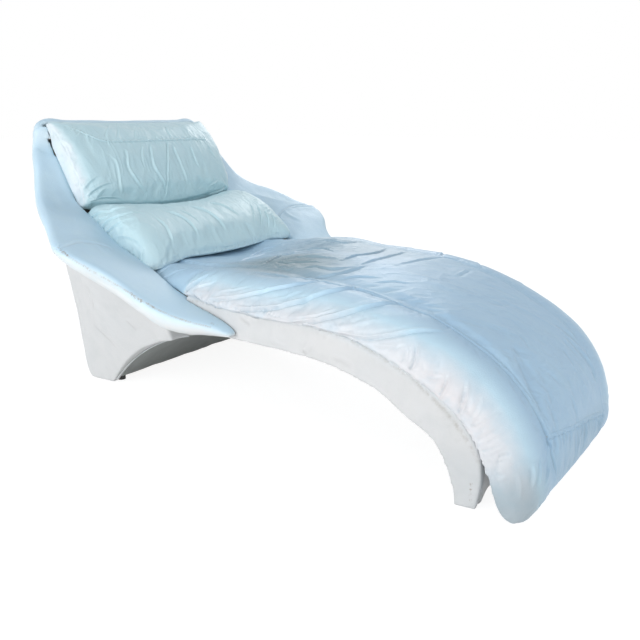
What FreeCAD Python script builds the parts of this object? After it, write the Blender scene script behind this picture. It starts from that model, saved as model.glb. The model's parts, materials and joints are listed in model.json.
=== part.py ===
import FreeCAD, Part
import math
import os
import Sketcher
from types import SimpleNamespace
from FreeCAD import Placement, Rotation, Vector

# A leather chaise lounge. The frame has its origin on the floor under the middle of the whole
# object, +X to the foot end, +Y to the left of a person who lies on it, and +Z up.

SIZES = [
    # Side boards and the padding round them
    ("rail_half_width", 368),
    ("rail_pad", 11),
    ("board_thickness", 15),
    ("edge_pad", 12),
    ("fit_gap", 0.3),
    ("cut_overrun", 20),
    # Arch under the seat
    ("rail_depth", 94),
    ("arch_rear_x", 14),
    ("arch_front_x", 263),
    ("arch_rear_radius", 745),
    ("rail_depth_front", 112),
    ("arch_turn", 28),
    ("foot_inner_radius", 222),
    # Top line of the rails
    ("deck_height", 360),
    ("deck_front_x", 259),
    ("deck_radius", 802),
    ("deck_turn", 31.9),
    ("foot_top_radius", 150),
    ("foot_lift", 3),
    ("deck_rear_x", -540),
    # Pedestal and back
    ("pedestal_depth", 111),
    ("back_top_x", -886),
    ("back_height", 862),
    ("pedestal_lift", 5),
    ("pedestal_corner_radius", 32),
    ("toe_corner_radius", 14),
    ("cover_split_x", -170),
    ("back_panel_thickness", 11),
    ("back_panel_drop", 64),
    ("flare_width", 180),
    ("flare_top_z", 440),
    # Arms
    ("wing_set", 64),
    ("wing_drop", 38),
    ("arm_tip_x", 35),
    ("arm_tip_drop", 68),
    ("arm_reach", 267),
    ("arm_depth", 110),
    ("arm_pad_depth", 20),
    ("cheek_start_x", -178),
    ("rib_thickness", 15),
    ("rib_inset", 22),
    # Deck, battens and webbing
    ("deck_thickness", 8),
    ("batten_width", 20),
    ("batten_depth", 22),
    ("back_foot_x", -560),
    ("back_lean_turn", 1.85),
    ("back_batten_start", 95),
    ("back_batten_gap", 5),
    ("strap_width", 60),
    ("strap_thickness", 2),
    ("strap_pitch", 66),
    ("underside_gap", 3),
    ("underside_low_z", 17),
    ("underside_thickness", 6),
    # Crossbars
    ("bar_width", 60),
    ("bar_depth", 40),
    ("back_bar_depth", 26),
    ("foot_bar_width", 16),
    ("foot_bar_depth", 70),
    ("base_width", 74),
    ("base_depth", 40),
    ("bar_chamfer", 2),
    ("knee_bar_turn", 17),
    ("mid_bar_x", 110),
    ("seat_bar_x", -210),
    ("rear_bar_x", -480),
    ("back_bar_along", 205),
    ("back_bar_set", 44),
    ("top_bar_gap", 1.5),
    ("top_bar_set", 26),
    ("bend_gap", 0.7),
    ("foot_bar_z", 52),
    ("base_bar_set", 41),
    ("base_bar_z", 34),
    ("block_size", 44),
    ("block_height", 90),
    # Fasteners and glides
    ("bolt_diameter", 8),
    ("bolt_length", 55),
    ("bolt_head_diameter", 18),
    ("bolt_head_height", 4),
    ("bolt_clearance", 0.4),
    ("nut_diameter", 14),
    ("nut_length", 16),
    ("nut_setback", 30),
    ("glide_diameter", 27),
    ("glide_height", 14),
    ("glide_inset_y", 22),
    ("glide_spacing", 48),
    ("screw_diameter", 4),
    ("screw_length", 22),
    ("screw_head_diameter", 8),
    ("screw_head_height", 3),
    ("foot_glide_diameter", 15),
    ("welt_diameter", 5),
    # Roll along the top of the back
    ("roll_half_width", 358),
    ("roll_depth", 57),
    ("roll_height", 52),
    # Seat cushion
    ("seat_half_width", 385),
    ("seat_rear_half_width", 337),
    ("seat_thickness", 93),
    ("seat_seam_half_width", 228),
    ("seat_crown", 7),
    ("seat_rear_x", -556),
    ("seat_end_radius", 235),
    ("seat_end_turn", 95.5),
    ("strip_thickness", 1.5),
    ("strip_width", 50),
    # Back cushion and lumbar pillow
    ("back_half_width", 338),
    ("back_start", 232),
    ("back_rise", 23),
    ("back_edge_thickness", 46),
    ("back_crown", 52),
    ("back_end_inset", 10),
    ("pillow_half_width", 341),
    ("pillow_reach", 236),
]

doc = FreeCAD.newDocument("lounger")
sheet = doc.addObject("Spreadsheet::Sheet", "Sizes")
for row, (alias, number) in enumerate(SIZES, start=1):
    sheet.set("A%d" % row, alias)
    sheet.set("B%d" % row, str(number))
    sheet.setAlias("B%d" % row, alias)
doc.recompute()

size = SimpleNamespace(**{alias: float(sheet.get(alias)) for alias, number in SIZES})
pieces = []

board_outer = size.rail_half_width - size.rail_pad
board_inner = board_outer - size.board_thickness


# Helpers for outlines and shapes

def turned(centre, radius, degrees):
    """Point on a circle in the XZ plane, measured from straight up towards +X."""
    angle = math.radians(degrees)
    return (centre[0] + radius * math.sin(angle), centre[1] + radius * math.cos(angle))


def upright(point, y=0.0):
    return Vector(point[0], y, point[1])


def arc_edge(centre, radius, start, end):
    """Arc of the XZ plane between two angles from straight up."""
    places = [upright(turned(centre, radius, angle)) for angle in (start, (start + end) / 2, end)]
    return Part.Arc(*places).toShape()


def line_edge(first, second):
    return Part.makeLine(upright(first), upright(second))


def ends(edge):
    return edge.valueAt(edge.FirstParameter), edge.valueAt(edge.LastParameter)


def prism(edges, low, high):
    """Closed XZ outline carried along Y from low to high."""
    wire = Part.Wire(Part.__sortEdges__(edges))
    face = Part.Face(wire)
    face.translate(Vector(0, low, 0))
    return face.extrude(Vector(0, high - low, 0))


def mirrored(shape):
    return shape.mirror(Vector(0, 0, 0), Vector(0, 1, 0))


def bow_middle(first, second, share):
    """Middle of an arc that stands out to the left of its way by a share of its chord."""
    across = (second[0] - first[0], second[1] - first[1])
    return ((first[0] + second[0]) / 2 - across[1] * share, (first[1] + second[1]) / 2 + across[0] * share)


def section(corners, bow_shares, place):
    """Closed wire through flat corners that run clockwise, with a straight or bowed edge after each."""
    edges = []
    for index, corner in enumerate(corners):
        following = corners[(index + 1) % len(corners)]
        if bow_shares[index]:
            middle = bow_middle(corner, following, bow_shares[index])
            edges.append(Part.Arc(place(corner), place(middle), place(following)).toShape())
        else:
            edges.append(Part.makeLine(place(corner), place(following)))
    return Part.Wire(edges)


def block(low, high):
    corner = Vector(*low)
    spans = [b - a for a, b in zip(low, high)]
    return Part.makeBox(*spans, corner)


def largest(shape):
    """The shape without the offcuts of its cuts."""
    return max(shape.Solids, key=lambda solid: solid.Volume)


def add_shape(label, shape):
    piece = doc.addObject("Part::Feature", label)
    piece.Label = label
    piece.Shape = shape
    pieces.append(piece)
    return piece


def add_pair(stem, shape):
    """The left side's piece and its mirror image."""
    add_shape(stem + "_left", shape)
    add_shape(stem + "_right", mirrored(shape))


# Side profile: the arch under the seat, the top line of the rails and the slope of the back

arch_height = size.deck_height - size.rail_depth
arch_front_radius = size.deck_radius - size.rail_depth_front
ARCH_REAR = (size.arch_rear_x, arch_height - size.arch_rear_radius)
ARCH_FRONT = (size.arch_front_x, arch_height - arch_front_radius)
FOOT_INNER = turned(ARCH_FRONT, arch_front_radius - size.foot_inner_radius, size.arch_turn)
DECK = (size.deck_front_x, size.deck_height - size.deck_radius)
FOOT_TOP = turned(DECK, size.deck_radius - size.foot_top_radius, size.deck_turn)
FOOT_FRONT_X = FOOT_TOP[0] + size.foot_top_radius


def arch_start_angle(inset, z):
    return -math.degrees(math.acos((z - ARCH_REAR[1]) / (size.arch_rear_radius + inset)))


TOE = turned(ARCH_REAR, size.arch_rear_radius, arch_start_angle(0, size.pedestal_lift))
PEDESTAL_REAR_X = TOE[0] - size.pedestal_depth
BASE_BAR_X = TOE[0] - size.base_bar_set


def rear_x(z, inset=0.0):
    """The outside back is a straight slope from the floor to the top."""
    lean = (size.back_top_x - PEDESTAL_REAR_X) / size.back_height
    return PEDESTAL_REAR_X + lean * z + inset * math.hypot(1, lean)


def arch_edges(inset, z):
    """Arch from the pedestal's toe at height z to the inner side of the foot at the same height."""
    rear_radius = size.arch_rear_radius + inset
    front_radius = arch_front_radius + inset
    foot_radius = size.foot_inner_radius + inset
    toe_angle = arch_start_angle(inset, z)
    foot_angle = math.degrees(math.acos((z - FOOT_INNER[1]) / foot_radius))
    return [
        arc_edge(ARCH_REAR, rear_radius, toe_angle, 0),
        line_edge(turned(ARCH_REAR, rear_radius, 0), turned(ARCH_FRONT, front_radius, 0)),
        arc_edge(ARCH_FRONT, front_radius, 0, size.arch_turn),
        arc_edge(FOOT_INNER, foot_radius, size.arch_turn, foot_angle),
    ]


def deck_edges(inset, x, z):
    """Top line of the rails from x on the level to the front of the foot at height z."""
    radius = size.deck_radius - inset
    foot_radius = size.foot_top_radius - inset
    toe = turned(FOOT_TOP, foot_radius, 90)
    return [
        line_edge((x, size.deck_height - inset), turned(DECK, radius, 0)),
        arc_edge(DECK, radius, 0, size.deck_turn),
        arc_edge(FOOT_TOP, foot_radius, size.deck_turn, 90),
        line_edge(toe, (toe[0], z)),
    ]


# Line of the arms, where the top of each arm meets the cushions, from the top of the back to the tip

ARM_LINE_SHARES = [
    # run, height
    (0.000, 1.000),
    (0.045, 0.857),
    (0.096, 0.703),
    (0.166, 0.562),
    (0.271, 0.474),
    (0.366, 0.374),
    (0.446, 0.318),
    (0.588, 0.225),
    (0.693, 0.145),
    (0.802, 0.109),
    (0.889, 0.079),
    (0.945, 0.053),
    (1.000, 0.000),
]
ARM_TILTS = [60, 58, 53, 37, 27, 24, 20, 25, 25, 15, 5, 5, 0]
ARM_SECTION_SHARES = [
    # reach and lift of the shoulder, the ridge and the crease below it, then the depth at the wall
    (0.060, -0.050, 0.096, -0.160, 0.070, -0.330, 0.410),
    (0.190, -0.040, 0.245, -0.160, 0.180, -0.370, 0.580),
    (0.345, 0.000, 0.415, -0.110, 0.350, -0.380, 0.780),
    (0.490, 0.200, 0.578, 0.080, 0.500, -0.240, 0.900),
    (0.660, 0.330, 0.750, 0.210, 0.660, -0.080, 0.860),
    (0.810, 0.440, 0.908, 0.340, 0.785, 0.060, 0.780),
    (0.900, 0.490, 1.000, 0.380, 0.840, 0.090, 0.720),
    (0.705, 0.340, 0.766, 0.190, 0.630, -0.230, 0.740),
    (0.590, 0.200, 0.648, 0.040, 0.515, -0.330, 0.720),
    (0.472, -0.045, 0.527, -0.200, 0.418, -0.610, 0.740),
    (0.356, -0.073, 0.396, -0.190, 0.312, -0.500, 0.580),
    (0.281, -0.055, 0.312, -0.140, 0.246, -0.360, 0.410),
    (0.191, -0.027, 0.202, -0.064, 0.176, -0.118, 0.127),
]
ARM_BOW_SHARES = (0.02, 0.2, 0.2, -0.05, 0)
RIB_STATIONS = (4, 5, 6, 7, 8)
CHEEK_STATIONS = (8, 7, 6, 5, 4, 3, 2, 1, 0)


WING_TOP = (size.back_top_x + size.wing_set, size.back_height - size.wing_drop)
ARM_TIP = (size.arm_tip_x, size.deck_height - size.arm_tip_drop)


def arm_point(index):
    run, height = ARM_LINE_SHARES[index]
    x = WING_TOP[0] + run * (ARM_TIP[0] - WING_TOP[0])
    z = ARM_TIP[1] + height * (WING_TOP[1] - ARM_TIP[1])
    return (x, z)


def arm_up(index):
    """Direction out of the arm's top at a station, in the XZ plane."""
    tilt = math.radians(ARM_TILTS[index])
    return (math.sin(tilt), math.cos(tilt))


def arm_place(index, along=0.0):
    """Places a section's (y, lift) corner, and may shift it along the arm."""
    x, z = arm_point(index)
    up = arm_up(index)

    def place(corner):
        y, lift = corner
        return Vector(x + lift * up[0] + along * up[1], y, z + lift * up[1] - along * up[0])

    return place


def arm_corners(index, grow):
    shares = ARM_SECTION_SHARES[index]
    shoulder, ridge, crease = [
        (board_inner + shares[k] * size.arm_reach, shares[k + 1] * size.arm_depth) for k in (0, 2, 4)
    ]
    bottom = shares[6] * size.arm_depth
    return [
        (board_inner - grow, grow),
        (shoulder[0], shoulder[1] + grow),
        (ridge[0] + grow, ridge[1]),
        (crease[0] + grow, crease[1] - grow),
        (board_inner - grow, -bottom - grow),
    ]


def arm_loft(grow=0.0):
    wires = []
    last = len(ARM_TILTS) - 1
    for index in range(last + 1):
        along = grow * ((index == last) - (index == 0))
        wires.append(section(arm_corners(index, grow), ARM_BOW_SHARES, arm_place(index, along)))
    return Part.makeLoft(wires, True, False)


def cheek_edge(inset, level_z):
    """Upper edge of the side board beside the cushions, from the level rail to the top of the back."""
    points = [Vector(size.cheek_start_x, 0, level_z)]
    for index in CHEEK_STATIONS:
        x, z = arm_point(index)
        up = arm_up(index)
        points.append(Vector(x - inset * up[0], 0, z - inset * up[1]))
    curve = Part.BSplineCurve()
    curve.interpolate(points)
    return curve.toShape()


def side_prism(inset, bottom_z, low, high, cheek_gap=0.0):
    """The whole side of the lounger, from pedestal to foot and up to the top of the back."""
    cheek = cheek_edge(size.arm_pad_depth - cheek_gap, size.deck_height - inset)
    top = cheek.valueAt(cheek.LastParameter)
    arch = arch_edges(inset, bottom_z)
    deck = deck_edges(inset, size.cheek_start_x, bottom_z)
    toe = ends(arch[0])[0]
    rear_low = (rear_x(bottom_z, inset), bottom_z)
    rear_high = (rear_x(top.z, inset), top.z)
    closing = [
        Part.makeLine(ends(arch[-1])[1], ends(deck[-1])[1]),
        Part.makeLine(top, upright(rear_high)),
        line_edge(rear_high, rear_low),
        Part.makeLine(upright(rear_low), toe),
    ]
    return prism(arch + deck + [cheek] + closing, low, high)


# Zone above the seam between the wings and the roll along the top

SEAM_POINT = arm_point(0)
SEAM_UP = arm_up(0)


def seam_place(y):
    """Places a (lift, rise) corner of the roll: lift along the seam's plane, rise square to it."""

    def place(corner):
        lift, rise = corner
        x = SEAM_POINT[0] + lift * SEAM_UP[0] - rise * SEAM_UP[1]
        return Vector(x, y, SEAM_POINT[1] + lift * SEAM_UP[1] + rise * SEAM_UP[0])

    return place


def above_seam(gap):
    place = seam_place(-size.rail_half_width - size.cut_overrun)
    span = 2 * size.roll_depth
    corners = [(-span, -gap), (-span, span), (span, span), (span, -gap)]
    face = Part.Face(section(corners, (0, 0, 0, 0), place))
    return face.extrude(Vector(0, 2 * (size.rail_half_width + size.cut_overrun), 0))


# Side boards, with the crossbars' bolt holes

gap = size.fit_gap
board_blank = side_prism(size.edge_pad, size.edge_pad, board_inner, board_outer)
slot_inset = size.edge_pad - gap
board_slot = side_prism(slot_inset, slot_inset, board_inner - size.cut_overrun, board_outer + gap, gap)
board_blank = board_blank.cut(above_seam(gap))


WING_RUN = size.back_foot_x - WING_TOP[0]
WING_RISE = WING_TOP[1] - size.deck_height
BACK_TURN = math.degrees(math.atan2(WING_RISE, WING_RUN)) - size.back_lean_turn
BACK_END = math.hypot(WING_RUN, WING_RISE) + size.back_rise


def back_place(y):
    """Places an (along, out) corner on the slope of the back."""
    turn = math.radians(BACK_TURN)

    def place(corner):
        along, out = corner
        x = size.back_foot_x - along * math.cos(turn) + out * math.sin(turn)
        return Vector(x, y, size.deck_height + along * math.sin(turn) + out * math.cos(turn))

    return place


def under_deck(depth):
    """Height of a crossbar's middle that lies under the level deck."""
    return size.deck_height - size.deck_thickness - depth / 2


KNEE_BAR = turned(
    DECK,
    size.deck_radius - size.deck_thickness - size.bend_gap - size.bar_depth / 2,
    size.knee_bar_turn,
)
BACK_BAR = back_place(0)((size.back_bar_along, -size.back_bar_set))


def top_bar_spare(along):
    """Room between the top crossbar's rear corner and its gap to the outside back."""
    corner = back_place(0)((along + size.bar_width / 2, -size.top_bar_set - size.back_bar_depth / 2))
    return corner.x - rear_x(corner.z, size.back_panel_thickness + size.top_bar_gap)


top_bar_along = size.bar_width / (1 - top_bar_spare(size.bar_width) / top_bar_spare(0))
TOP_BAR = back_place(0)((top_bar_along, -size.top_bar_set))

# Each crossbar: width and depth aliases, the middle of its section and its tilt
BARS = [
    ("foot_crossbar", "foot_bar_width", "foot_bar_depth",
     (FOOT_FRONT_X - size.edge_pad - size.foot_bar_width / 2, size.foot_bar_z), 0),
    ("knee_crossbar", "bar_width", "bar_depth", KNEE_BAR, size.knee_bar_turn),
    ("middle_crossbar", "bar_width", "bar_depth", (size.mid_bar_x, under_deck(size.bar_depth)), 0),
    ("seat_crossbar", "bar_width", "bar_depth", (size.seat_bar_x, under_deck(size.bar_depth)), 0),
    ("rear_crossbar", "bar_width", "bar_depth", (size.rear_bar_x, under_deck(size.bar_depth)), 0),
    ("back_crossbar", "bar_width", "bar_depth", (BACK_BAR.x, BACK_BAR.z), BACK_TURN),
    ("top_crossbar", "bar_width", "back_bar_depth", (TOP_BAR.x, TOP_BAR.z), BACK_TURN),
    ("base_crossbar", "base_width", "base_depth", (BASE_BAR_X, size.base_bar_z), 0),
]


def sized(alias):
    return getattr(size, alias)


def bar_box(bar, grow):
    label, width_alias, depth_alias, middle, tilt = bar
    width = sized(width_alias) + 2 * grow
    depth = sized(depth_alias) + 2 * grow
    box = block((-width / 2, -board_inner, -depth / 2), (width / 2, board_inner, depth / 2))
    box.Placement = Placement(upright(middle), Rotation(Vector(0, 1, 0), tilt))
    return box


def origin_plane(body, role):
    return next(feature for feature in body.Origin.OriginFeatures if feature.Role == role)


def bar_section(body, label, width_alias, depth_alias):
    """Rectangle about the body's own middle, in its XZ plane."""
    sketch = body.newObject("Sketcher::SketchObject", label + "_section")
    sketch.AttachmentSupport = (origin_plane(body, "XZ_Plane"), [""])
    sketch.MapMode = "FlatFace"
    half_width = sized(width_alias) / 2
    half_depth = sized(depth_alias) / 2
    corners = [
        Vector(-half_width, -half_depth, 0),
        Vector(half_width, -half_depth, 0),
        Vector(half_width, half_depth, 0),
        Vector(-half_width, half_depth, 0),
    ]
    for index in range(4):
        sketch.addGeometry(Part.LineSegment(corners[index], corners[(index + 1) % 4]), False)
    for index in range(4):
        sketch.addConstraint(Sketcher.Constraint("Coincident", index, 2, (index + 1) % 4, 1))
    for index in (0, 2):
        sketch.addConstraint(Sketcher.Constraint("Horizontal", index))
    for index in (1, 3):
        sketch.addConstraint(Sketcher.Constraint("Vertical", index))
    sketch.addConstraint(Sketcher.Constraint("Symmetric", 0, 1, 1, 2, -1, 1))
    across = sketch.addConstraint(Sketcher.Constraint("DistanceX", 0, 1, 0, 2, 2 * half_width))
    up = sketch.addConstraint(Sketcher.Constraint("DistanceY", 1, 1, 1, 2, 2 * half_depth))
    sketch.setExpression("Constraints[%d]" % across, "Sizes.%s" % width_alias)
    sketch.setExpression("Constraints[%d]" % up, "Sizes.%s" % depth_alias)
    return sketch


BOARD_INNER_CELL = "(Sizes.rail_half_width - Sizes.rail_pad - Sizes.board_thickness)"


def bore(body, name, plane, diameter, height, start, sideways="0", forward="0"):
    """Round hole in a body, from start along the plane's normal."""
    hole = body.newObject("PartDesign::SubtractiveCylinder", name)
    hole.AttachmentSupport = (origin_plane(body, plane), [""])
    hole.MapMode = "FlatFace"
    hole.setExpression("Radius", "(%s) / 2" % diameter)
    hole.setExpression("Height", height)
    hole.setExpression(".AttachmentOffset.Base.x", forward)
    hole.setExpression(".AttachmentOffset.Base.y", sideways)
    hole.setExpression(".AttachmentOffset.Base.z", start)
    return hole


def add_bar(bar):
    """Beech crossbar with a bolt hole in each end and a cross hole for the barrel nut."""
    label, width_alias, depth_alias, middle, tilt = bar
    body = doc.addObject("PartDesign::Body", label)
    body.Label = label
    pad = body.newObject("PartDesign::Pad", label + "_pad")
    pad.Profile = bar_section(body, label, width_alias, depth_alias)
    pad.SideType = "Symmetric"
    pad.setExpression("Length", "2 * " + BOARD_INNER_CELL)
    doc.recompute()
    long_edges = [
        "Edge%d" % (index + 1)
        for index, edge in enumerate(pad.Shape.Edges)
        if abs(edge.tangentAt(edge.FirstParameter).y) > math.cos(math.radians(1))
    ]
    chamfer = body.newObject("PartDesign::Chamfer", label + "_chamfer")
    chamfer.Base = (pad, long_edges)
    chamfer.setExpression("Size", "Sizes.bar_chamfer")
    doc.recompute()
    if bar is not FOOT_BAR:
        bolt_hole = "Sizes.bolt_diameter + Sizes.bolt_clearance"
        nut_hole = "Sizes.nut_diameter + Sizes.bolt_clearance"
        reach = "(Sizes.bolt_length + Sizes.bolt_clearance)"
        cross = "(Sizes.%s + Sizes.cut_overrun)" % depth_alias
        nut_y = "(%s - Sizes.nut_setback)" % BOARD_INNER_CELL
        bore(body, label + "_bolt_left", "XZ_Plane", bolt_hole, reach, "-" + BOARD_INNER_CELL)
        bore(body, label + "_bolt_right", "XZ_Plane", bolt_hole, reach, BOARD_INNER_CELL + " - " + reach)
        bore(body, label + "_nut_left", "XY_Plane", nut_hole, cross, "-%s / 2" % cross, nut_y)
        bore(body, label + "_nut_right", "XY_Plane", nut_hole, cross, "-%s / 2" % cross, "-" + nut_y)
    else:
        screw_hole = "Sizes.screw_diameter + Sizes.bolt_clearance"
        reach = "(Sizes.bolt_length + Sizes.bolt_clearance)"
        bore(body, label + "_screw_left", "XZ_Plane", screw_hole, reach, "-" + BOARD_INNER_CELL)
        bore(body, label + "_screw_right", "XZ_Plane", screw_hole, reach, BOARD_INNER_CELL + " - " + reach)
    if bar is BASE_BAR:
        pilot_hole = "Sizes.screw_diameter + Sizes.bolt_clearance"
        reach = "(Sizes.cut_overrun + Sizes.screw_length)"
        start = "-Sizes.base_depth / 2 - Sizes.cut_overrun"
        glide_y_cell = "(%s - Sizes.glide_inset_y)" % BOARD_INNER_CELL
        for end, way in (("front", ""), ("rear", "-")):
            for side, sign in (("left", ""), ("right", "-")):
                name = "%s_pilot_%s_%s" % (label, end, side)
                forward = way + "Sizes.glide_spacing / 2"
                bore(body, name, "XY_Plane", pilot_hole, reach, start, sign + glide_y_cell, forward)
    body.Placement = Placement(upright(middle), Rotation(Vector(0, 1, 0), tilt))
    doc.recompute()
    pieces.append(body)


FOOT_BAR = BARS[0]
BASE_BAR = BARS[-1]


def rod(diameter, length, start):
    """Round bar along +Y from start."""
    return Part.makeCylinder(diameter / 2, length, start, Vector(0, 1, 0))


def bolt(middle, diameter, head_diameter, head_height):
    """Fastener from outside the left board into the end of a crossbar."""
    shank_start = board_outer - head_height - size.bolt_length
    shank = rod(diameter, size.bolt_length, upright(middle, shank_start))
    head = rod(head_diameter, head_height, upright(middle, board_outer - head_height))
    return shank.fuse(head).removeSplitter()


def bolt_hole(middle, diameter, head_diameter, head_height):
    clearance = size.bolt_clearance
    shank = rod(diameter + clearance, size.board_thickness + size.cut_overrun, upright(middle, board_inner))
    recess_start = board_outer - head_height - clearance / 2
    recess = rod(head_diameter + clearance, head_height + size.cut_overrun, upright(middle, recess_start))
    return shank.fuse(recess)


frame_bolts = []
barrel_nuts = []
for bar in BARS:
    add_bar(bar)
    label, width_alias, depth_alias, middle, tilt = bar
    if bar is FOOT_BAR:
        fastener = (size.screw_diameter, size.screw_head_diameter, size.screw_head_height)
        foot_screw = bolt(middle, *fastener)
    else:
        fastener = (size.bolt_diameter, size.bolt_head_diameter, size.bolt_head_height)
        frame_bolts.append(bolt(middle, *fastener))
        nut = Part.makeCylinder(size.nut_diameter / 2, size.nut_length, Vector(0, 0, -size.nut_length / 2))
        nut.Placement = Placement(
            upright(middle, board_inner - size.nut_setback), Rotation(Vector(0, 1, 0), tilt)
        )
        thread_start = upright(middle, board_inner - 2 * size.nut_setback)
        thread = rod(size.bolt_diameter + size.bolt_clearance / 2, 2 * size.nut_setback, thread_start)
        barrel_nuts.append(nut.cut(thread))
    board_blank = board_blank.cut(bolt_hole(middle, *fastener))

add_pair("side_board", board_blank)


def both_sides(solids):
    return Part.makeCompound(solids + [mirrored(solid) for solid in solids])


add_shape("frame_bolts", both_sides(frame_bolts))
add_shape("barrel_nuts", both_sides(barrel_nuts))
add_shape("foot_screws", both_sides([foot_screw]))


# Seat deck of bent plywood and the battens that carry it

def deck_band(upper, lower, low, high):
    """Band between two depths below the top line, from the rear of the deck to the foot."""
    top_radius = size.deck_radius - upper
    low_radius = size.deck_radius - lower
    rear_high = (size.deck_rear_x, size.deck_height - upper)
    rear_low = (size.deck_rear_x, size.deck_height - lower)
    edges = [
        line_edge(rear_high, turned(DECK, top_radius, 0)),
        arc_edge(DECK, top_radius, 0, size.deck_turn),
        line_edge(turned(DECK, top_radius, size.deck_turn), turned(DECK, low_radius, size.deck_turn)),
        arc_edge(DECK, low_radius, 0, size.deck_turn),
        line_edge(turned(DECK, low_radius, 0), rear_low),
        line_edge(rear_low, rear_high),
    ]
    return prism(edges, low, high)


add_shape("seat_deck", deck_band(0, size.deck_thickness, gap - board_inner, board_inner - gap))
batten_top = size.deck_thickness + gap
batten = deck_band(batten_top, batten_top + size.batten_depth, board_inner - size.batten_width, board_inner)
for bar in BARS:
    batten = batten.cut(bar_box(bar, gap))
add_pair("deck_batten", batten)


# Webbing of the back, on two battens

def back_block(start, end, low_out, high_out, low_y, high_y):
    place = back_place(low_y)
    corners = [(start, low_out), (start, high_out), (end, high_out), (end, low_out)]
    face = Part.Face(section(corners, (0, 0, 0, 0), place))
    return face.extrude(Vector(0, high_y - low_y, 0))


batten_out = -size.strap_thickness
batten_end = top_bar_along - size.bar_width / 2 - size.back_batten_gap
add_pair("back_batten", back_block(
    size.back_batten_start, batten_end,
    batten_out - size.batten_depth, batten_out, board_inner - size.batten_width, board_inner,
))
straps = []
for index in range(round((batten_end - size.back_batten_start) / size.strap_pitch)):
    start = size.back_batten_start + index * size.strap_pitch + (size.strap_pitch - size.strap_width) / 2
    straps.append(back_block(
        start, start + size.strap_width, batten_out, 0, gap - board_inner, board_inner - gap,
    ))
add_shape("back_webbing", Part.makeCompound(straps))


# Blocks in the pedestal's corners, and the glides

block_low = size.base_bar_z + size.base_depth / 2
corner_block = block(
    (BASE_BAR_X - size.block_size / 2, board_inner - size.block_size, block_low),
    (BASE_BAR_X + size.block_size / 2, board_inner, block_low + size.block_height),
)
add_shape("corner_blocks", both_sides([corner_block]))

glides = []
glide_screws = []
glide_y = board_inner - size.glide_inset_y
for glide_x in (BASE_BAR_X + size.glide_spacing / 2, BASE_BAR_X - size.glide_spacing / 2):
    foot = Part.makeCylinder(size.glide_diameter / 2, size.glide_height, Vector(glide_x, glide_y, 0))
    screw_low = size.glide_height / 2
    recess = Part.makeCylinder(
        (size.screw_head_diameter + size.bolt_clearance) / 2, screw_low, Vector(glide_x, glide_y, 0)
    )
    passage = Part.makeCylinder(
        (size.screw_diameter + size.bolt_clearance) / 2, size.glide_height, Vector(glide_x, glide_y, 0)
    )
    glides.append(foot.cut(recess.fuse(passage)))
    head = Part.makeCylinder(
        size.screw_head_diameter / 2, size.screw_head_height,
        Vector(glide_x, glide_y, screw_low - size.screw_head_height),
    )
    shank = Part.makeCylinder(
        size.screw_diameter / 2, size.screw_length, Vector(glide_x, glide_y, screw_low)
    )
    glide_screws.append(head.fuse(shank).removeSplitter())
add_shape("pedestal_glides", both_sides(glides))
add_shape("glide_screws", both_sides(glide_screws))

foot_middle_x = FOOT_FRONT_X - size.edge_pad - size.foot_bar_width / 2
foot_glide = Part.makeCylinder(
    size.foot_glide_diameter / 2, size.foot_bar_z - size.foot_bar_depth / 2,
    Vector(foot_middle_x, board_inner - size.glide_inset_y, 0),
)


# Padded covers: arms, rails, pedestal, outside back, underside and foot

def rib(index, grow):
    """Plywood rib inside an arm, out from the side board."""
    corners = arm_corners(index, 0)
    inset = size.rib_inset
    shape = [
        (board_outer - grow, -inset + grow),
        (corners[1][0] - inset + grow, corners[1][1] - inset + grow),
        (corners[3][0] - 2 * inset + grow, corners[3][1] - grow),
        (board_outer - grow, corners[4][1] + inset - grow),
    ]
    half = size.rib_thickness / 2 + grow
    face = Part.Face(section(shape, (0, 0, 0, 0), arm_place(index, -half)))
    up = arm_up(index)
    return face.extrude(Vector(up[1], 0, -up[0]).multiply(2 * half))


add_pair("arm_ribs", Part.makeCompound([rib(index, 0) for index in RIB_STATIONS]))

far = size.back_height
front_zone = block((size.cover_split_x, 0, 0), (far, far, far))
rear_zone = block((-2 * far, 0, 0), (size.cover_split_x - gap, far, 2 * far))

rail_cover = side_prism(0, size.foot_lift, board_inner, size.rail_half_width)
rail_cover = rail_cover.cut(board_slot).common(front_zone)
add_pair("rail_cover", rail_cover)

rail_envelope = side_prism(
    -gap, size.foot_lift - gap, board_inner - size.cut_overrun, size.rail_half_width + gap, gap
)
arm_pad = largest(arm_loft().cut(board_slot).cut(rail_envelope.common(front_zone)))
for index in RIB_STATIONS:
    arm_pad = arm_pad.cut(rib(index, gap))
add_pair("arm_pad", largest(arm_pad))

# Run from the back's top to the covers' seam, and how far the pedestal's side flares out there
FLARE_SHARES = [
    (-0.05, -0.035),
    (0.10, -0.035),
    (0.18, 0.0),
    (0.27, 0.08),
    (0.40, 0.38),
    (0.51, 0.72),
    (0.62, 0.95),
    (0.75, 0.93),
    (0.88, 0.80),
    (1.05, 0.62),
]
FLARE_BOW_SHARE = 0.072
FLARE_LEAN_SHARE = 1.6


def flare_section(run_share, width_share):
    x = size.back_top_x + run_share * (size.cover_split_x - size.back_top_x)
    width = width_share * size.flare_width
    corners = [
        (board_inner, -size.cut_overrun),
        (board_inner, far),
        (size.rail_half_width + width * FLARE_LEAN_SHARE, far),
        (size.rail_half_width + width, size.flare_top_z),
        (size.rail_half_width, -size.cut_overrun),
    ]
    bows = (0, 0, 0, -FLARE_BOW_SHARE * width_share, 0)
    return section(corners, bows, lambda corner: Vector(x, corner[0], corner[1]))


flare = Part.makeLoft([flare_section(run, width) for run, width in FLARE_SHARES], True, False)
pedestal_blank = side_prism(0, size.pedestal_lift, board_inner, 2 * size.rail_half_width)


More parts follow.
